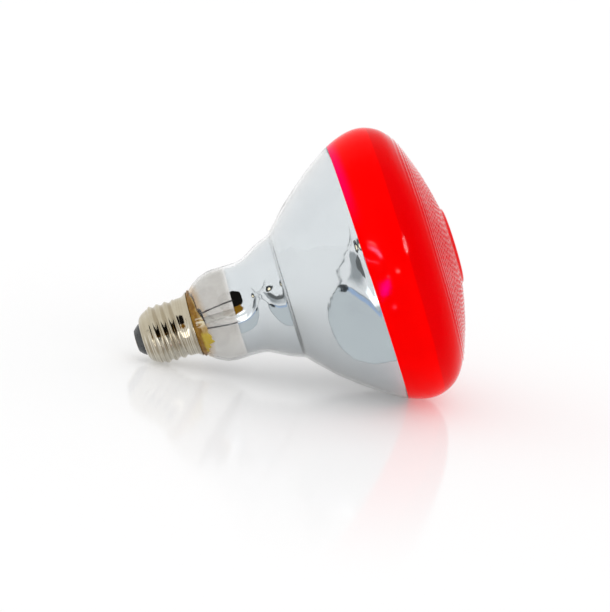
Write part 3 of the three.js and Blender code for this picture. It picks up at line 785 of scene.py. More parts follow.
# ------------------------------------------------------------------ cement
def cement_front(phi):
    """Station where the squeezed-out cement ends on the neck, by turn from the top towards the viewer's side."""
    d = np.degrees(phi) % 360
    knots = np.array([(0, 28.05), (22, 28.4), (34, 29.3), (46, 30.0), (61, 30.2), (72, 31.2), (82, 32.0), (90, 32.6), (96, 32.2),
                      (101, 33.4), (106, 33.0), (110, 34.0), (113, 32.2), (116, 30.9), (121, 31.6), (126, 29.9),
                      (131, 30.2), (138, 29.2), (150, 28.3), (165, 28.0), (200, 27.97), (320, 27.97), (345, 28.0), (360, 28.05)])
    base = np.interp(d, knots[:, 0], knots[:, 1])
    rough = wave(phi * 6.0, phi * 0, 21, 1.4)
    amount = 0.12 + 0.35 * sstep(70, 95, d) * (1 - sstep(125, 140, d))
    return np.maximum(base + amount * rough, 27.94)


def build_cement():
    segs = 420
    phi = 2 * PI * np.arange(segs) / segs
    edge = cement_front(phi)
    rows_s, rows_r = [], []
    # outer side: from inside the skirt out over the rim, then a thin layer up the glass to its edge
    fixed_out = [(20.2, 11.42), (21.2, 11.5), (22.4, 11.98), (23.4, 12.4), (24.4, 12.86), (25.4, 13.34), (26.2, 13.8), (26.75, 14.16)]
    for s, r in fixed_out:
        rows_s.append(np.full(segs, s))
        rows_r.append(np.full(segs, r))
    bead_s, bead_r = [27.02, 27.35, 27.75], [14.55, 14.95, 15.08]
    for s, r in zip(bead_s, bead_r):
        lumps = 0.08 * wave(phi * 4.0, phi * 0 + s, 31, 1.2)
        rows_s.append(np.full(segs, s) + lumps * 0.5)
        rows_r.append(np.full(segs, r) + lumps)
    steps = 16
    for k in range(1, steps + 1):
        t = k / steps
        s = 27.9 + (edge - 27.9) * t
        length = len_at(s)
        lift = 0.42 * (1 - t) ** 1.3 + 0.20 * (1 - t ** 6) + 0.05
        lift = lift + 0.07 * wave(phi * 9.0, s * 0.8, 41, 1.1) * (1 - t ** 4)
        ss, rr = on_outline(length, -np.maximum(lift, 0.045))
        rows_s.append(ss)
        rows_r.append(rr)
    # underside: down the glass again, just above it
    for k in range(steps, -1, -2):
        t = k / steps
        s = 27.9 + (edge - 27.9) * t
        ss, rr = on_outline(len_at(s), -0.02)
        rows_s.append(ss - (0.03 if k == steps else 0))
        rows_r.append(rr)
    for s, r in [(27.3, 13.72), (26.6, 12.98), (25.6, 12.36), (24.0, 11.7), (22.4, 11.25), (20.2, 11.0)]:
        rows_s.append(np.full(segs, s))
        rows_r.append(np.full(segs, r))
    S, R = np.array(rows_s), np.array(rows_r)
    pts, faces = lathe(S[:, 0], R[:, 0], segs, lambda a, b, c: (S, R))
    make("basing_cement_bead", pts, faces, CEMENT, 50, ["basing_cement"])


# ------------------------------------------------------------------ bulb
def lean_edge(S, P, at, reach, amount):
    """Shift of the stations near a ring, so that the ring's plane leans."""
    return -amount * np.cos(P) * (1 - sstep(0.0, reach, abs(S - at)))


WALL = 1.1
STEP = 0.34  # how far the glass is set back under the lacquer in the model


def build_envelope():
    out_len = np.concatenate([
        np.linspace(len_at(28.2), len_at(CREASE) - 3.0, 46),
        np.linspace(len_at(CREASE) - 2.6, len_at(CREASE) + 2.6, 23),
        np.linspace(len_at(CREASE) + 3.0, len_at(RED_EDGE - 0.15), 44),
    ])
    so, ro = on_outline(out_len)
    neck = [(14.0, 10.3), (17.0, 10.42), (20.0, 10.6), (22.0, 10.95), (23.6, 11.38), (25.0, 12.0), (26.0, 12.55), (26.9, 13.25), (27.6, 14.05)]
    under = np.linspace(len_at(RED_EDGE) + 0.35, LEN[-1] - 0.5, 46)
    su, ru = on_outline(under, STEP + 0.05)
    keep = ru > 0.4
    su, ru = su[keep], ru[keep]
    in_len = np.concatenate([
        np.linspace(len_at(28.4), len_at(CREASE) - 2.0, 30),
        np.linspace(len_at(CREASE) - 1.5, len_at(CREASE) + 2.5, 12),
        np.linspace(len_at(CREASE) + 3.2, len_at(142.3), 60),
    ])
    extra = np.where(in_len > len_at(RED_EDGE - 3), STEP * sstep(len_at(RED_EDGE - 3), len_at(RED_EDGE + 3), in_len), 0)
    si, ri = on_outline(in_len, WALL + extra)
    throat = [(27.2, 12.35), (26.2, 11.5), (25.2, 10.9), (23.6, 10.25), (21.6, 9.8), (18.0, 9.5), (14.0, 9.32), (13.8, 9.6), (13.8, 10.1)]
    # the outline runs from pole to pole: front, bowl, waist and neck outside, then back along the inside
    outer_s = np.concatenate([[p[0] for p in neck], so, su])
    outer_r = np.concatenate([[p[1] for p in neck], ro, ru])
    order_s = np.concatenate([[144.35], outer_s[::-1], throat_s(throat), si, [142.9, 142.95]])
    order_r = np.concatenate([[0.0], outer_r[::-1], throat_r(throat), ri, [9.0, 0.0]])

    def shape(S, R, P):
        shift = lean_edge(S, P, RED_EDGE, 7.0, EDGE_TILT)
        base_r = np.interp(S, np.maximum.accumulate(PROF_S), PROF_R)
        new_r = np.interp(S + shift, np.maximum.accumulate(PROF_S), PROF_R)
        return S + shift, R + np.where(abs(shift) > 1e-6, new_r - base_r, 0)

    pts, faces = lathe(order_s, order_r, 192, shape)
    make("glass_envelope_blown", pts, faces, GLASS, 42, ["glass_envelope"])


def throat_s(throat):
    return np.array([p[0] for p in throat[::-1]])


def throat_r(throat):
    return np.array([p[1] for p in throat[::-1]])


def build_mirror():
    gap, thick = 0.04, 0.10
    in_len = np.concatenate([
        np.linspace(len_at(MIRROR_EDGE), len_at(CREASE) - 2.0, 26),
        np.linspace(len_at(CREASE) - 1.5, len_at(CREASE) + 2.5, 13),
        np.linspace(len_at(CREASE) + 3.2, len_at(MIRROR_END), 54),
    ])
    extra = STEP * sstep(len_at(RED_EDGE - 3), len_at(RED_EDGE + 3), in_len)
    so, ro = on_outline(in_len, WALL + extra + gap)
    si, ri = on_outline(in_len, WALL + extra + gap + thick)

    def shape(S, R, P):
        near = 1 - sstep(0.0, 4.0, S - MIRROR_EDGE)
        shift = near * (0.45 * np.cos(P - 0.4) + 0.18 * wave(P * 3.0, P * 0, 61, 1.3))
        far = sstep(MIRROR_END - 4, MIRROR_END, S) * 0.3 * wave(P * 2.0, P * 0, 62, 1.0)
        S2 = S + shift + far
        base_r = np.interp(S, np.maximum.accumulate(PROF_S), PROF_R)
        new_r = np.interp(S2, np.maximum.accumulate(PROF_S), PROF_R)
        return S2, R + new_r - base_r

    pts, faces = lathe(np.concatenate([so, si[::-1]]), np.concatenate([ro, ri[::-1]]), 192, shape)
    make("reflector_film", pts, faces, MIRROR, 42, ["reflector_coating"])


STIPPLE_OUT, STIPPLE_IN, STIPPLE_PITCH = 53.0, 18.8, 2.9


def stipple(R, P):
    """Height of the moulded rings of pips at radius R and turn P, from 0 to 1."""
    rings = int((STIPPLE_OUT - STIPPLE_IN) / 2.3)
    gap = (STIPPLE_OUT - STIPPLE_IN) / rings
    centre = STIPPLE_IN + gap * (np.arange(rings) + 0.5)
    count = np.round(2 * PI * centre / STIPPLE_PITCH)
    start = np.random.default_rng(77).uniform(0, 1, rings)
    bend = 0.16 * wave(P * 9.0, R * 0.25, 73, 1.0)
    u = (R + bend - STIPPLE_IN) / gap
    k = np.clip(np.floor(u).astype(int), 0, rings - 1)
    ring = 0.5 - 0.5 * np.cos(2 * PI * u)
    along = 0.5 + 0.5 * np.cos(2 * PI * (P / (2 * PI) * count[k] + start[k]))
    plain = 0.45 + 0.35 * sstep(38.0, 47.0, R)  # the outer rings run together
    return ring * (plain + (1 - plain) * along)


def build_lacquer():
    lens = [np.linspace(len_at(RED_EDGE), len_at(RED_EDGE) + 1.2, 4)]
    r_of = lambda r: np.interp(-r, -PROF_R[PROF_S > 117.5], LEN[PROF_S > 117.5])
    a, b, c = r_of(STIPPLE_OUT + 3.4), r_of(STIPPLE_IN - 0.2), LEN[-1]
    lens.append(np.linspace(len_at(RED_EDGE) + 1.8, a, 27)[:-1])
    lens.append(np.linspace(a, b, 86)[:-1])
    lens.append(np.linspace(b, r_of(13.5), 18)[:-1])
    lens.append(np.linspace(r_of(13.5), c - 1.0, 7))
    outer = np.concatenate(lens)
    so, ro = on_outline(outer, -0.012)
    ns = np.interp(outer, LEN, PROF_NS)
    nr = np.interp(outer, LEN, PROF_NR)
    inner = np.concatenate([np.linspace(len_at(RED_EDGE) + 0.25, len_at(120), 6), np.linspace(len_at(123), c - 2.0, 9)])
    depth = STEP - 0.02
    si, ri = on_outline(inner, depth)
    n_out = len(so)
    s = np.concatenate([[144.9], so[::-1], si, [144.5]])
    r = np.concatenate([[0.0], ro[::-1], ri, [0.0]])
    NS, NR = ns[::-1][:, None], nr[::-1][:, None]

    def shape(S, R, P):
        shift = lean_edge(S, P, RED_EDGE, 7.0, EDGE_TILT)
        base_r = np.interp(S, np.maximum.accumulate(PROF_S), PROF_R)
        new_r = np.interp(S + shift, np.maximum.accumulate(PROF_S), PROF_R)
        S2, R2 = S + shift, R + np.where(abs(shift) > 1e-6, new_r - base_r, 0)
        ro_ = R2[:n_out]
        rim = STIPPLE_OUT + 3.0 * sstep(0.45, 0.9, np.cos(P[:n_out]))  # it reaches further out at the top
        fade = (1 - sstep(rim - 5.0, rim, ro_)) * sstep(STIPPLE_IN - 0.2, STIPPLE_IN + 0.9, ro_)
        h = 0.36 * stipple(ro_, P[:n_out]) * fade * (1 + 0.25 * wave(P[:n_out] * 8, ro_ * 0.3, 71, 1.0))
        S2[:n_out] += NS * h
        R2[:n_out] += NR * h
        return S2, R2

    pts, faces = lathe(s, r, 640, shape)
    make("red_lacquer_front", pts, faces, LACQUER, 70, ["red_lacquer"])


# ------------------------------------------------------------------ stem
def build_stem():
    # trumpet drawn into a flat press: the section goes from a ring to a rounded slab
    rows = [  # station, half width (z), half thickness (x)
        (21.2, 5.35, 5.3), (22.0, 5.5, 4.5), (22.8, 5.7, 3.4), (23.8, 5.9, 2.5), (25.0, 6.0, 1.95), (26.5, 6.0, 1.75),
        (28.0, 6.0, 1.7), (29.4, 6.0, 1.7), (30.3, 5.9, 1.62), (30.8, 5.6, 1.4), (31.0, 5.1, 1.0),
    ]
    k = 72
    v = 2 * PI * np.arange(k) / k
    rings = []
    for s, r in [(14.2, 6.45), (13.3, 7.6), (12.7, 8.8), (12.5, 9.6), (12.7, 10.25), (13.2, 10.5), (13.68, 10.4), (13.68, 9.4), (13.9, 8.4),
                 (14.6, 7.6), (15.8, 6.9), (17.2, 6.4), (18.8, 6.05), (20.2, 5.7)]:
        rings.append(np.stack([r * np.cos(v), np.full(k, s), r * np.sin(v)], -1))
    for s, w, t in rows:
        p = 2.0 + 2.2 * sstep(21.2, 26.0, s)
        cx = np.sign(np.cos(v)) * abs(np.cos(v)) ** (2 / p)
        cz = np.sign(np.sin(v)) * abs(np.sin(v)) ** (2 / p)
        rings.append(np.stack([t * cx, np.full(k, s) + 0.12 * np.cos(2 * v) * (s > 30), w * cz], -1))
    outer = np.array(rings)
    inner = []
    for s, r in [(21.2, 1.8), (20.9, 3.0), (20.2, 3.9), (19.0, 4.55), (17.4, 5.1), (15.6, 5.75)]:
        inner.append(np.stack([r * np.cos(v), np.full(k, s), r * np.sin(v)], -1))
    body = np.concatenate([outer, np.zeros((0, k, 3))])
    pts = body.reshape(-1, 3)
    n_out = len(body)
    faces = [grid_faces(n_out, k)]
    top = len(pts)
    pts = np.vstack([pts, [[0, 31.1, 0]]])
    j = np.arange(k)
    base = (n_out - 1) * k
    faces.append(np.stack([np.full(k, top), base + j, base + (j + 1) % k], -1))
    first = len(pts)
    pts = np.vstack([pts, np.array(inner).reshape(-1, 3), [[0, 21.3, 0]]])
    n_in = len(inner)
    f = grid_faces(n_in, k, first)
    faces.append(f)
    # inner skin joined to the lip of the trumpet
    lip = np.stack([np.arange(k), (np.arange(k) + 1) % k, first + (n_in - 1) * k + (j + 1) % k, first + (n_in - 1) * k + j], -1)
    faces.append(lip[:, ::-1])
    pole = len(pts) - 1
    faces.append(np.stack([np.full(k, pole), first + (j + 1) % k, first + j], -1))
    import bmesh
    me = bpy.data.meshes.new("stem_flare_pressed")
    world = place(pts)
    me.from_pydata([tuple(p) for p in world], [], [list(map(int, r)) for f in faces for r in f])
    bm = bmesh.new()
    bm.from_mesh(me)
    bmesh.ops.recalc_face_normals(bm, faces=bm.faces)
    bm.to_mesh(me)
    bm.free()
    me.polygons.foreach_set("use_smooth", np.ones(len(me.polygons), bool))
    me.set_sharp_from_angle(angle=math.radians(45))
    att = me.attributes.new("lamp", "FLOAT_VECTOR", "POINT")
    att.data.foreach_set("vector", pts.astype(np.float32).ravel())
    ob = bpy.data.objects.new("stem_flare_pressed", me)
    bpy.context.scene.collection.objects.link(ob)
    me.materials.append(STEM)
    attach(ob, "root")
    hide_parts("stem_flare")

    # exhaust tube, tipped off to a drawn point
    t = [(20.1, 1.15), (20.1, 1.9), (19.9, 1.95), (10.0, 1.95), (9.2, 1.86), (8.5, 1.6), (7.9, 1.25), (7.3, 0.85), (6.9, 0.5), (6.65, 0.22),
         (6.6, 0.0)]
    q = [(7.9, 0.0), (8.2, 0.35), (8.8, 0.8), (9.6, 1.08), (11.0, 1.15), (20.1, 1.15)]
    a = np.array(t[1:])
    b = np.array(q)
    s = np.concatenate([a[::-1, 0], b[::-1, 0]])
    r = np.concatenate([a[::-1, 1], b[::-1, 1]])
    pts, faces = lathe(s, r, 40, lambda S, R, P: (S, R * (1 + 0.03 * wave(P, S * 0.4, 15, 1.0) * (S < 9.5))))
    make("exhaust_tube_tipped", pts, faces, STEM, 45, ["exhaust_tube"])

    rod = [(31.3, 0.0), (31.3, 1.2), (31.45, 1.5), (31.8, 1.6), (40.0, 1.58), (52.0, 1.62), (60.0, 1.6), (62.4, 1.68), (63.4, 2.0), (64.2, 2.5),
           (65.2, 2.82), (66.2, 2.78), (67.0, 2.35), (67.5, 1.6), (67.8, 0.8), (67.85, 0.0)]
    a = np.array(rod)
    pts, faces = lathe(a[:, 0], a[:, 1], 48, lambda S, R, P: (S, R * (1 + 0.025 * wave(P, S * 0.12, 16, 1.0))))
    make("arbor_cane", pts, faces, STEM, 45, ["arbor_rod"])


# ------------------------------------------------------------------ wires
def build_wires():
    for sgn, tag in ((1, "a"), (-1, "b")):
        path = smooth_path([
            (0, 29.7, sgn * 3.6), (0, 31.2, sgn * 3.62), (0, 33.5, sgn * 3.95), (0, 38, sgn * 4.5), (0, 43, sgn * 4.95), (0, 50, sgn * 5.1),
            (-0.1, 60, sgn * 5.0), (0, 68, sgn * 5.0), (0, 71, sgn * 5.7), (0, 74, sgn * 7.2), (0, 77, sgn * 10.2), (0.2, 78.9, sgn * 11.9),
            (0.5, 80.2, sgn * 12.3),
        ], 0.45)
        r = np.full(len(path), 0.35)
        # flattened hook that clamps the filament's end
        r = r * (1 + 0.5 * sstep(78.4, 80.0, path[:, 1]))
        pts, faces = tube(path, r, 14)
        make("inner_lead_wire_" + tag, pts, faces, LEAD, 60, ["inner_lead_" + tag])

    # coiled filament on its half circle
    turns, per = 88, 12
    n = turns * per
    t = np.linspace(-PI / 2, PI / 2, n)
    a = 2 * PI * turns * np.linspace(0, 1, n)
    # sags a little between the supports
    sag = 0.35 * np.sin(4 * (t + PI / 2)) ** 2
    rad = 12.0 + 0.68 * np.cos(a) - sag
    path = np.stack([rad * np.cos(t), 80.2 + 0.68 * np.sin(a), rad * np.sin(t)], -1)
    pts, faces = tube(path, 0.115, 6, round_ends=False)
    make("filament_coiled", pts, faces, TUNGSTEN, 70, ["filament_coil"])

    for i, deg in enumerate((-54, 0, 54)):
        t = math.radians(deg)
        e = np.array([math.cos(t), 0, math.sin(t)])
        up = np.array([0, 1.0, 0])
        pts_ = [3.0 * e + up * 65.3, 4.0 * e + up * 66.0, 5.4 * e + up * 67.5, 8.4 * e + up * 73.2, 10.7 * e + up * 77.5]
        c = 12.0 * e + up * 80.2
        side = np.array([-math.sin(t), 0, math.cos(t)])
        loop = []
        for k in range(15):
            b = -0.65 * PI + 2 * PI * 1.15 * k / 14
            loop.append(c + 1.05 * (math.cos(b) * e + math.sin(b) * up) + side * (k - 7) * 0.05)
        path = smooth_path(np.array(pts_ + loop), 0.35)
        pts, faces = tube(path, 0.19, 8)
        make("filament_support_hook_%d" % (i + 1), pts, faces, MOLY, 60, ["filament_support_%d" % (i + 1)])

    # side lead: round the sealed rim of the glass and out over the cap rim to the side solder
    path = smooth_path([
        (0, 20.0, -3.2), (-0.6, 15.5, -4.2), (-3.4, 11.6, -5.6), (-8.2, 10.4, -5.0), (-10.6, 11.4, -2.4), (-11.02, 13.6, 0),
        (-11.08, 17, 0), (-11.16, 20.5, 0), (-11.95, 23.2, 0), (-13.0, 25.2, 0), (-13.85, 26.75, 0), (-14.5, 27.3, 0), (-15.1, 26.9, 0), (-15.22, 26.1, 0),
    ], 0.35)
    pts, faces = tube(path, 0.18, 10)
    make("side_lead_wire", pts, faces, COPPER, 60, ["side_lead"])

    # hidden wires and the fuse sleeve keep their CAD shape
    dumet = node_metal("dumet seal wire", (0.42, 0.13, 0.07), (0.55, 0.20, 0.12), 0.4)
    tinned = node_metal("tinned copper lead", (0.62, 0.33, 0.20), (0.80, 0.55, 0.42), 0.3)
    sleeve = sleeve_glass()
    for name, mat in (("seal_wire_a", dumet), ("seal_wire_b", dumet), ("centre_lead", tinned), ("fuse_tail", tinned), ("fuse_link", sleeve)):
        ob = NODES[name]
        for slot in ob.material_slots:
            slot.material = mat
        if not ob.material_slots:
            ob.data.materials.append(mat)


build_cap()
build_cap_end()
build_cement()
build_envelope()
build_mirror()
build_lacquer()
build_stem()
build_wires()


# ------------------------------------------------------------------ stage: floor, studio surroundings, camera
def stage_mesh(name, verts, faces, material, camera=True, light=True, fade=None):
    me = bpy.data.meshes.new(name)
    me.from_pydata(verts, [], faces)
    me.update()
    if fade is not None:
        me.attributes.new("fade", "FLOAT", "POINT").data.foreach_set("value", np.asarray(fade, np.float32))
    ob = bpy.data.objects.new(name, me)
    bpy.context.scene.collection.objects.link(ob)
    me.materials.append(material)
    ob.visible_camera = camera
    if not light:
        ob.visible_diffuse = False
        ob.visible_shadow = False
        ob.visible_volume_scatter = False
    return ob


def floor_material(glossy):
    m = bpy.data.materials.new("pale floor" if glossy else "pale floor, dull")
    m.use_nodes = True
    t = m.node_tree
    t.nodes.clear()
    out = t.nodes.new("ShaderNodeOutputMaterial")
    dif = t.nodes.new("ShaderNodeBsdfDiffuse")
    dif.inputs["Color"].default_value = (0.965, 0.965, 0.965, 1)
    lit = t.nodes.new("ShaderNodeEmission")
    lit.inputs["Color"].default_value = (1, 1, 1, 1)
    lit.inputs["Strength"].default_value = 1.005
    soft = t.nodes.new("ShaderNodeMixShader")
    soft.inputs[0].default_value = 0.26
    t.links.new(dif.outputs[0], soft.inputs[1])
    t.links.new(lit.outputs[0], soft.inputs[2])
    if not glossy:
        t.links.new(soft.outputs[0], out.inputs["Surface"])
        return m
    # a weak gloss near the lamp that dies out further off
    glo = t.nodes.new("ShaderNodeBsdfAnisotropic")
    glo.inputs["Color"].default_value = (1, 1, 1, 1)
    glo.inputs["Roughness"].default_value = 0.10
    fres = t.nodes.new("ShaderNodeFresnel")
    fres.inputs["IOR"].default_value = 1.2
    pos = t.nodes.new("ShaderNodeTexCoord")
    mid = t.nodes.new("ShaderNodeVectorMath")
    mid.operation = "MULTIPLY_ADD"
    mid.inputs[1].default_value = (1.0, 0.8, 0.0)
    mid.inputs[2].default_value = (0.0, 0.06, 0.0)
    far = t.nodes.new("ShaderNodeVectorMath")
    far.operation = "LENGTH"
    near = t.nodes.new("ShaderNodeMapRange")
    near.interpolation_type = "SMOOTHSTEP"
    near.inputs["From Min"].default_value = 0.045
    near.inputs["From Max"].default_value = 0.16
    near.inputs["To Min"].default_value = 0.80
    near.inputs["To Max"].default_value = 0.0
    amount = t.nodes.new("ShaderNodeMath")
    amount.operation = "MULTIPLY"
    mix = t.nodes.new("ShaderNodeMixShader")
    t.links.new(pos.outputs["Object"], mid.inputs[0])
    t.links.new(mid.outputs[0], far.inputs[0])
    t.links.new(far.outputs["Value"], near.inputs["Value"])
    t.links.new(near.outputs[0], amount.inputs[0])
    t.links.new(fres.outputs[0], amount.inputs[1])
    t.links.new(amount.outputs[0], mix.inputs[0])
    t.links.new(soft.outputs[0], mix.inputs[1])
    t.links.new(glo.outputs[0], mix.inputs[2])
    t.links.new(mix.outputs[0], out.inputs["Surface"])
    return m


def glow(name, colour, strength=1.0, soft=None, over=False):
    """A plain light of one colour; with soft, it fades out towards its edge; with over, it adds to what is behind it."""
    m = bpy.data.materials.new(name)
    m.use_nodes = True
    t = m.node_tree
    t.nodes.clear()
    out = t.nodes.new("ShaderNodeOutputMaterial")
    e = t.nodes.new("ShaderNodeEmission")
    e.inputs["Color"].default_value = (*colour, 1)
    e.inputs["Strength"].default_value = strength
    if over:
        clear = t.nodes.new("ShaderNodeBsdfTransparent")
        both = t.nodes.new("ShaderNodeAddShader")
        t.links.new(clear.outputs[0], both.inputs[0])
        t.links.new(e.outputs[0], both.inputs[1])
        t.links.new(both.outputs[0], out.inputs["Surface"])
        return m
    if soft is None:
        t.links.new(e.outputs[0], out.inputs["Surface"])
        return m
    fade = t.nodes.new("ShaderNodeAttribute")
    fade.attribute_name = "fade"
    ramp = t.nodes.new("ShaderNodeMapRange")
    ramp.interpolation_type = "SMOOTHSTEP"
    ramp.inputs["From Max"].default_value = soft
    clear = t.nodes.new("ShaderNodeBsdfTransparent")
    mix = t.nodes.new("ShaderNodeMixShader")
    t.links.new(fade.outputs["Fac"], ramp.inputs["Value"])
    t.links.new(ramp.outputs[0], mix.inputs[0])
    t.links.new(clear.outputs[0], mix.inputs[1])
    t.links.new(e.outputs[0], mix.inputs[2])
    t.links.new(mix.outputs[0], out.inputs["Surface"])
    return m


floor_z = min(0.0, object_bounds()[0].z) - 0.00002
# the camera sees the floor with its gloss; the lamp sees a dull one just under it, with the cards between the two
seen_floor = stage_mesh("studio_floor", [(-9, -9, floor_z), (9, -9, floor_z), (9, 9, floor_z), (-9, 9, floor_z)], [(0, 1, 2, 3)], floor_material(True))
seen_floor.visible_diffuse = seen_floor.visible_glossy = seen_floor.visible_transmission = seen_floor.visible_shadow = False
under = floor_z - 0.0022
stage_mesh("studio_floor_under", [(-9, -9, under), (9, -9, under), (9, 9, under), (-9, 9, under)], [(0, 1, 2, 3)], floor_material(False), camera=False)


def seen_from(az, el, dist=4.0):
    """A point far off in a direction: azimuth from the front (-Y) towards +X, and elevation, in degrees."""
    a, e = math.radians(az), math.radians(el)
    return (dist * math.sin(a) * math.cos(e), -dist * math.cos(a) * math.cos(e), dist * math.sin(e))


def wall_card(name, outline, material, dist=4.0):
    """A card far off, its outline as [azimuth, elevation]; it shows in reflections only."""
    pts = []
    for i, p in enumerate(outline):
        q = outline[(i + 1) % len(outline)]
        n = max(1, int(max(abs(q[0] - p[0]), abs(q[1] - p[1])) / 6))
        for k in range(n):
            pts.append((p[0] + (q[0] - p[0]) * k / n, p[1] + (q[1] - p[1]) * k / n))
    mid = (sum(p[0] for p in pts) / len(pts), sum(p[1] for p in pts) / len(pts))
    verts = [seen_from(*mid, dist)] + [seen_from(*p, dist) for p in pts]
    faces = [(0, i + 1, (i + 1) % len(pts) + 1) for i in range(len(pts))]
    return stage_mesh(name, verts, faces, material, camera=False, light=False)


def wall_line(name, path, width, material, dist=3.9):
    verts = []
    for i, p in enumerate(path):
        a, b = path[max(i - 1, 0)], path[min(i + 1, len(path) - 1)]
        dx, dy = b[0] - a[0], b[1] - a[1]
        length = math.hypot(dx, dy) or 1
        w = width * (0.45 if i in (0, len(path) - 1) else 1.0)
        for side in (1, -1):
            verts.append(seen_from(p[0] - side * dy / length * w / 2, p[1] + side * dx / length * w / 2, dist))
    faces = [(2 * i, 2 * i + 1, 2 * i + 3, 2 * i + 2) for i in range(len(path) - 1)]
    return stage_mesh(name, verts, faces, material, camera=False, light=False)


def floor_card(name, outline, material, lift=0.0004):
    """A flat patch on the lower floor, [x, y] in millimetres; it shows in reflections only."""
    verts = [(x / 1000, y / 1000, under + lift) for x, y in outline]
    return stage_mesh(name, verts, [tuple(range(len(verts)))], material, camera=False, light=False)


def soft_floor_card(name, outline, middle, material, lift=0.0004):
    """A floor card in rings round its middle, so that it can fade towards its edge."""
    rings = (0.0, 0.25, 0.5, 0.75, 1.0)
    verts, fade = [(middle[0] / 1000, middle[1] / 1000, under + lift)], [1.0]
    n = len(outline)
    for k in rings[1:]:
        for x, y in outline:
            verts.append(((middle[0] + (x - middle[0]) * k) / 1000, (middle[1] + (y - middle[1]) * k) / 1000, under + lift))
            fade.append(1 - k)
    faces = [(0, 1 + i, 1 + (i + 1) % n) for i in range(n)]
    for k in range(len(rings) - 2):
        a, b = 1 + k * n, 1 + (k + 1) * n
        faces += [(a + i, a + (i + 1) % n, b + (i + 1) % n, b + i) for i in range(n)]
    return stage_mesh(name, verts, faces, material, camera=False, light=False, fade=fade)


def floor_line(name, path, width, material, lift=0.0008):
    verts = []
    for i, (x, y) in enumerate(path):
        (ax, ay), (bx, by) = path[max(i - 1, 0)], path[min(i + 1, len(path) - 1)]
        dx, dy = bx - ax, by - ay
        length = math.hypot(dx, dy) or 1
        w = width[i] if isinstance(width, (list, tuple)) else width
        for side in (1, -1):
            verts.append(((x - side * dy / length * w / 2) / 1000, (y + side * dx / length * w / 2) / 1000, under + lift))
    faces = [(2 * i, 2 * i + 1, 2 * i + 3, 2 * i + 2) for i in range(len(path) - 1)]
    return stage_mesh(name, verts, faces, material, camera=False, light=False)


def receivers(name, pieces):
    group = bpy.data.collections.new(name)
    for piece in pieces:
        group.objects.link(bpy.data.objects[piece])
    return group


SHINE = receivers("takes the small lights", ["red_lacquer_front"])
SHINE_CAP = receivers("takes the cap light", ["cap_shell_rolled", "basing_cement_bead"])
SHINE_NECK = receivers("takes the neck lights", ["glass_envelope_blown"])


def for_lacquer(ob, group=None):
    """Only the red coat, or the pieces of another group, mirror this light."""
    ob.light_linking.receiver_collection = group or SHINE
    return ob


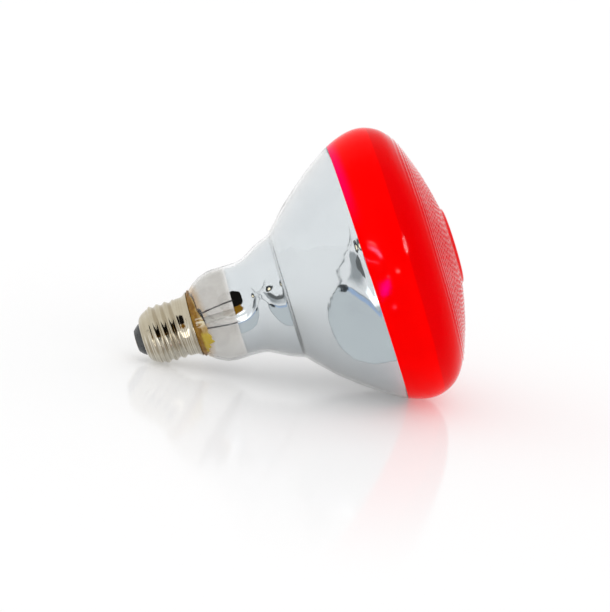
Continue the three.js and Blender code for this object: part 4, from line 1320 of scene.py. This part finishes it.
def surroundings():
    """What the gloss of the lamp mirrors: a white tent, open at the front onto a dim room."""
    black = glow("dark opening", (0.010, 0.009, 0.008))
    soot = glow("dark rim", (0.06, 0.065, 0.07))
    amber = glow("warm wood", (0.30, 0.145, 0.012))
    table = glow("grey table", (0.655, 0.69, 0.705))
    seam = glow("seam", (0.24, 0.25, 0.255))
    faint_seam = glow("faint seam", (0.42, 0.44, 0.45))
    blue = glow("bluish edge", (0.43, 0.56, 0.78))
    dim = glow("dim floor", (0.40, 0.42, 0.43), soft=0.55)
    dark = glow("dark floor", (0.16, 0.165, 0.165))
    window = glow("window light", (0.97, 0.99, 1.0), 1.6, soft=0.22)
    strip = glow("bright strip", (1.0, 0.88, 0.92), 165.0, over=True)
    strip_pink = glow("bright strip, cooler", (1.0, 0.55, 1.0), 190.0, over=True)
    haze = glow("bluish haze", (0.04, 0.0, 1.0), 36.0, over=True)
    low_window = glow("low window light", (1.0, 0.97, 0.92), 1.7, over=True)
    pane = glow("window pane", (0.95, 0.98, 1.0), 1.2, over=True)
    spot = glow("lamp head", (1.0, 0.86, 0.6), 1.6)
    # front opening
    wall_card("card_opening", [(-42, 56), (-42, 42), (-34, 32), (-26, 22), (-19, 18), (-8, 17), (30, 14), (66, 10), (66, 52), (20, 60)], black, 7.0)
    wall_card("card_wood", [(-17, 20), (-15, 8), (-5, 2.5), (16, 2.5), (22, 16), (-4, 20)], amber, 4.6)
    # lamp head seen at the left of the opening
    turns = np.linspace(0, 2 * PI, 22)[:-1]
    wall_card("card_head", [(-60 + 4.9 * math.cos(a), 5.2 + 4.9 * math.sin(a)) for a in turns], soot, 3.7)
    wall_card("card_head_core", [(-59.0 + 1.9 * math.cos(a), 4.6 + 2.0 * math.sin(a)) for a in turns], spot, 3.6)
    # edge of the tent, on the wall side and over the table
    wall_line("line_edge_a", [(-73, 16), (-72, 10.5), (-70.5, 4), (-71, -0.2)], 0.7, soot)
    wall_line("line_edge_b", [(-71, 14), (-70, 9), (-68.5, 3), (-69, -0.2)], 0.5, seam)
    floor_line("line_table", [(-2134, -806), (-930, -350), (-340, -166), (-221, -118), (-166, -105), (-128, -98), (-106, -88), (-88, -76), (-71, -66), (-41, -53)],
               [18, 9, 4.4, 3.0, 2.4, 2.6, 2.2, 1.5, 1.1, 0.9], seam)
    floor_line("line_table_near", [(-41, -53), (-26, -46), (-14, -41), (4, -32), (15, -30), (25, -36), (33, -47), (46, -55), (70, -64)],
               [0.9, 0.75, 0.62, 0.5, 0.45, 0.45, 0.5, 0.5, 0.4], faint_seam)
    floor_card("card_table", [(-118, -92), (-88, -76), (-71, -66), (-41, -53), (-26, -46), (-14, -41), (4, -32), (15, -30), (25, -36), (33, -47), (46, -55),
                              (70, -64), (140, -110), (140, -400), (-6, -400), (-14, -108), (-40, -104), (-90, -101)], table)
    floor_line("line_table_front", [(-96, -97), (-80, -100), (-58, -99.5), (-33, -100.5), (-17, -101), (10, -104), (60, -108)], 1.1, seam, 0.0012)
    floor_line("strip_table_front", [(-92, -93), (-76, -95), (-56, -94.5), (-33, -95.5), (-15, -96), (10, -99)], 8.5, blue, 0.001)
    floor_card("card_knot", [(-99, -84), (-108, -91), (-102, -99), (-86, -95), (-80, -92), (-72, -83), (-81, -80), (-88, -84)], soot, 0.0014)
    # beyond the table's front edge the floor is dimmer, with a dark wedge
    soft_floor_card("card_dim", [(-1729, -701), (-1821, -903), (-577, -421), (-308, -274), (-120, -170), (-62, -118), (-58, -104), (-81, -101), (-112, -100), (-166, -128),
                                 (-348, -200)], (-190, -158), dim, 0.0005)
    floor_card("card_dark_wedge", [(-1821, -990), (-1176, -830), (-577, -480), (-308, -304), (-166, -214), (-126, -178), (-146, -168), (-236, -190), (-404, -262),
                                   (-1176, -690)], dark, 0.0007)
    wall_card("card_dark_edge", [(-66.4, 8.6), (-63.6, 6.0), (-60.4, 2.3), (-56.0, -2), (-61.6, -2), (-63.2, 2.3), (-65.2, 5.3)], black, 3.5)
    soft_floor_card("card_white_wedge", [(-88, -150), (-69, -146), (-36, -136), (-10, -114), (-14, -101), (-36, -101), (-64, -113)], (-44, -120), window, 0.0011)
    # small lights in the room
    for name, outline, light in (
        ("light_curl_a", [(-51.1, 9.4), (-50.6, 9.4), (-39.4, 12.1), (-38.2, 13.3), (-44, 12.6), (-50.6, 10.7), (-51.6, 10.1)], strip),
        ("light_curl_b", [(-50.8, 6.5), (-48.2, 5.7), (-41.1, 6.7), (-36.2, 6.2), (-33.6, 3.6), (-32.0, 4.4), (-33.5, 7.3), (-37.0, 9.4), (-42, 8.4), (-47.8, 6.9), (-50.3, 7.7)], strip_pink),
        ("light_tear", [(27.7, 40.1), (24.7, 35.0), (22.5, 30.5), (26.1, 26.8), (32.8, 28.2), (36.4, 33.1), (34.7, 36.6), (33.3, 40.8)], strip),
        ("light_small", [(-10, 0.2), (-4.1, 2.7), (-3.4, 4.6), (-6.2, 3.4), (-9, 1.4), (-13, 0.4)], strip),
    ):
        for_lacquer(wall_card(name, outline, light, 3.0))
    for_lacquer(floor_line("light_curl_c", [(-625, -450), (-575, -490), (-650, -640), (-655, -760), (-660, -760), (-680, -880), (-820, -1150)], [60, 34, 60, 70, 60, 60, 30], strip_pink, 0.0015))
    for_lacquer(floor_card("light_dot", [(-131, -395), (-147, -418), (-125, -385), (-110, -352), (-118, -350)], strip, 0.0015))
    for_lacquer(floor_card("light_tiny", [(3, -125), (8, -131.5), (13, -129), (12, -127), (6, -124)], strip_pink, 0.0015))
    # low window light along the side of the cap and the neck
    for_lacquer(floor_card("light_cap", [(-84, -42), (-34, -38), (-28, -100), (-92, -108)], low_window, 0.0015), SHINE_CAP)
    for_lacquer(wall_card("light_neck", [(-14, 0.5), (-12, 3.5), (-8, 5.0), (-4, 4.6), (-2, 2.5), (-2.5, -0.5), (-8, -1)], pane, 3.0), SHINE_NECK)
    for_lacquer(floor_card("light_neck_low", [(-27, -105), (-18, -113), (-10, -310), (-69, -261)], pane, 0.0015), SHINE_NECK)
    # a soft bluish patch, as a stack of ever smaller ones
    outline = np.array([(-79, -190), (-73, -214), (-114, -352), (-90, -315), (-48, -241), (-24, -189), (-25, -140), (-27, -133), (-59, -175)], float)
    mid = np.array([-52.0, -196.0])
    for i, k in enumerate((1.25, 1.0, 0.78, 0.56, 0.36)):
        for_lacquer(floor_card("card_haze_%d" % i, [tuple(mid + (q - mid) * k) for q in outline], haze, 0.0015 + 0.00004 * i))


surroundings()

world = bpy.data.worlds.new("studio")
bpy.context.scene.world = world
world.use_nodes = True
wt = world.node_tree
wt.nodes.clear()
w_out = wt.nodes.new("ShaderNodeOutputWorld")
w_bg = wt.nodes.new("ShaderNodeBackground")
w_bg.inputs["Color"].default_value = (1.0, 1.0, 1.0, 1)
w_bg.inputs["Strength"].default_value = 1.045
wt.links.new(w_bg.outputs[0], w_out.inputs["Surface"])

bpy.context.scene.view_settings.view_transform = "Standard"

# camera: level with the photograph's, looking square to the bulb axis, turned a little about its own axis
ELEV = math.radians(10.0)
tilt = math.atan2(AXIS[2], AXIS[0])
AZ = math.asin(-math.tan(ELEV) * math.tan(tilt))
off = np.array([math.sin(AZ) * math.cos(ELEV), -math.cos(AZ) * math.cos(ELEV), math.sin(ELEV)])
foot = place(np.array([0.0, 89.89, 0.0]))
eye = foot + 0.88 * off
right0 = np.array([math.cos(AZ), math.sin(AZ), 0.0])
up0 = np.cross(right0, -off)
seen = math.degrees(math.atan2(AXIS @ up0, AXIS @ right0))
roll = math.radians(seen - 16.905)
r2 = right0 * math.cos(roll) + up0 * math.sin(roll)
u2 = -right0 * math.sin(roll) + up0 * math.cos(roll)
FOCAL = 2015.0  # in units of the 612 long side
look = 2015.0 * -off - 28.3 * r2 - 24.43 * u2
look /= np.linalg.norm(look)
cx = r2 - look * (r2 @ look)
cx /= np.linalg.norm(cx)
cy = np.cross(cx, look)
cam_data = bpy.data.cameras.new("camera")
cam = bpy.data.objects.new("camera", cam_data)
bpy.context.scene.collection.objects.link(cam)
cam.matrix_world = Matrix([
    (cx[0], cy[0], -look[0], eye[0]),
    (cx[1], cy[1], -look[1], eye[1]),
    (cx[2], cy[2], -look[2], eye[2]),
    (0, 0, 0, 1),
])
cam_data.sensor_width = 36.0
cam_data.lens = FOCAL * 36.0 / 612.0
cam_data.clip_start, cam_data.clip_end = 0.01, 100
bpy.context.scene.camera = cam

bpy.context.view_layer.update()
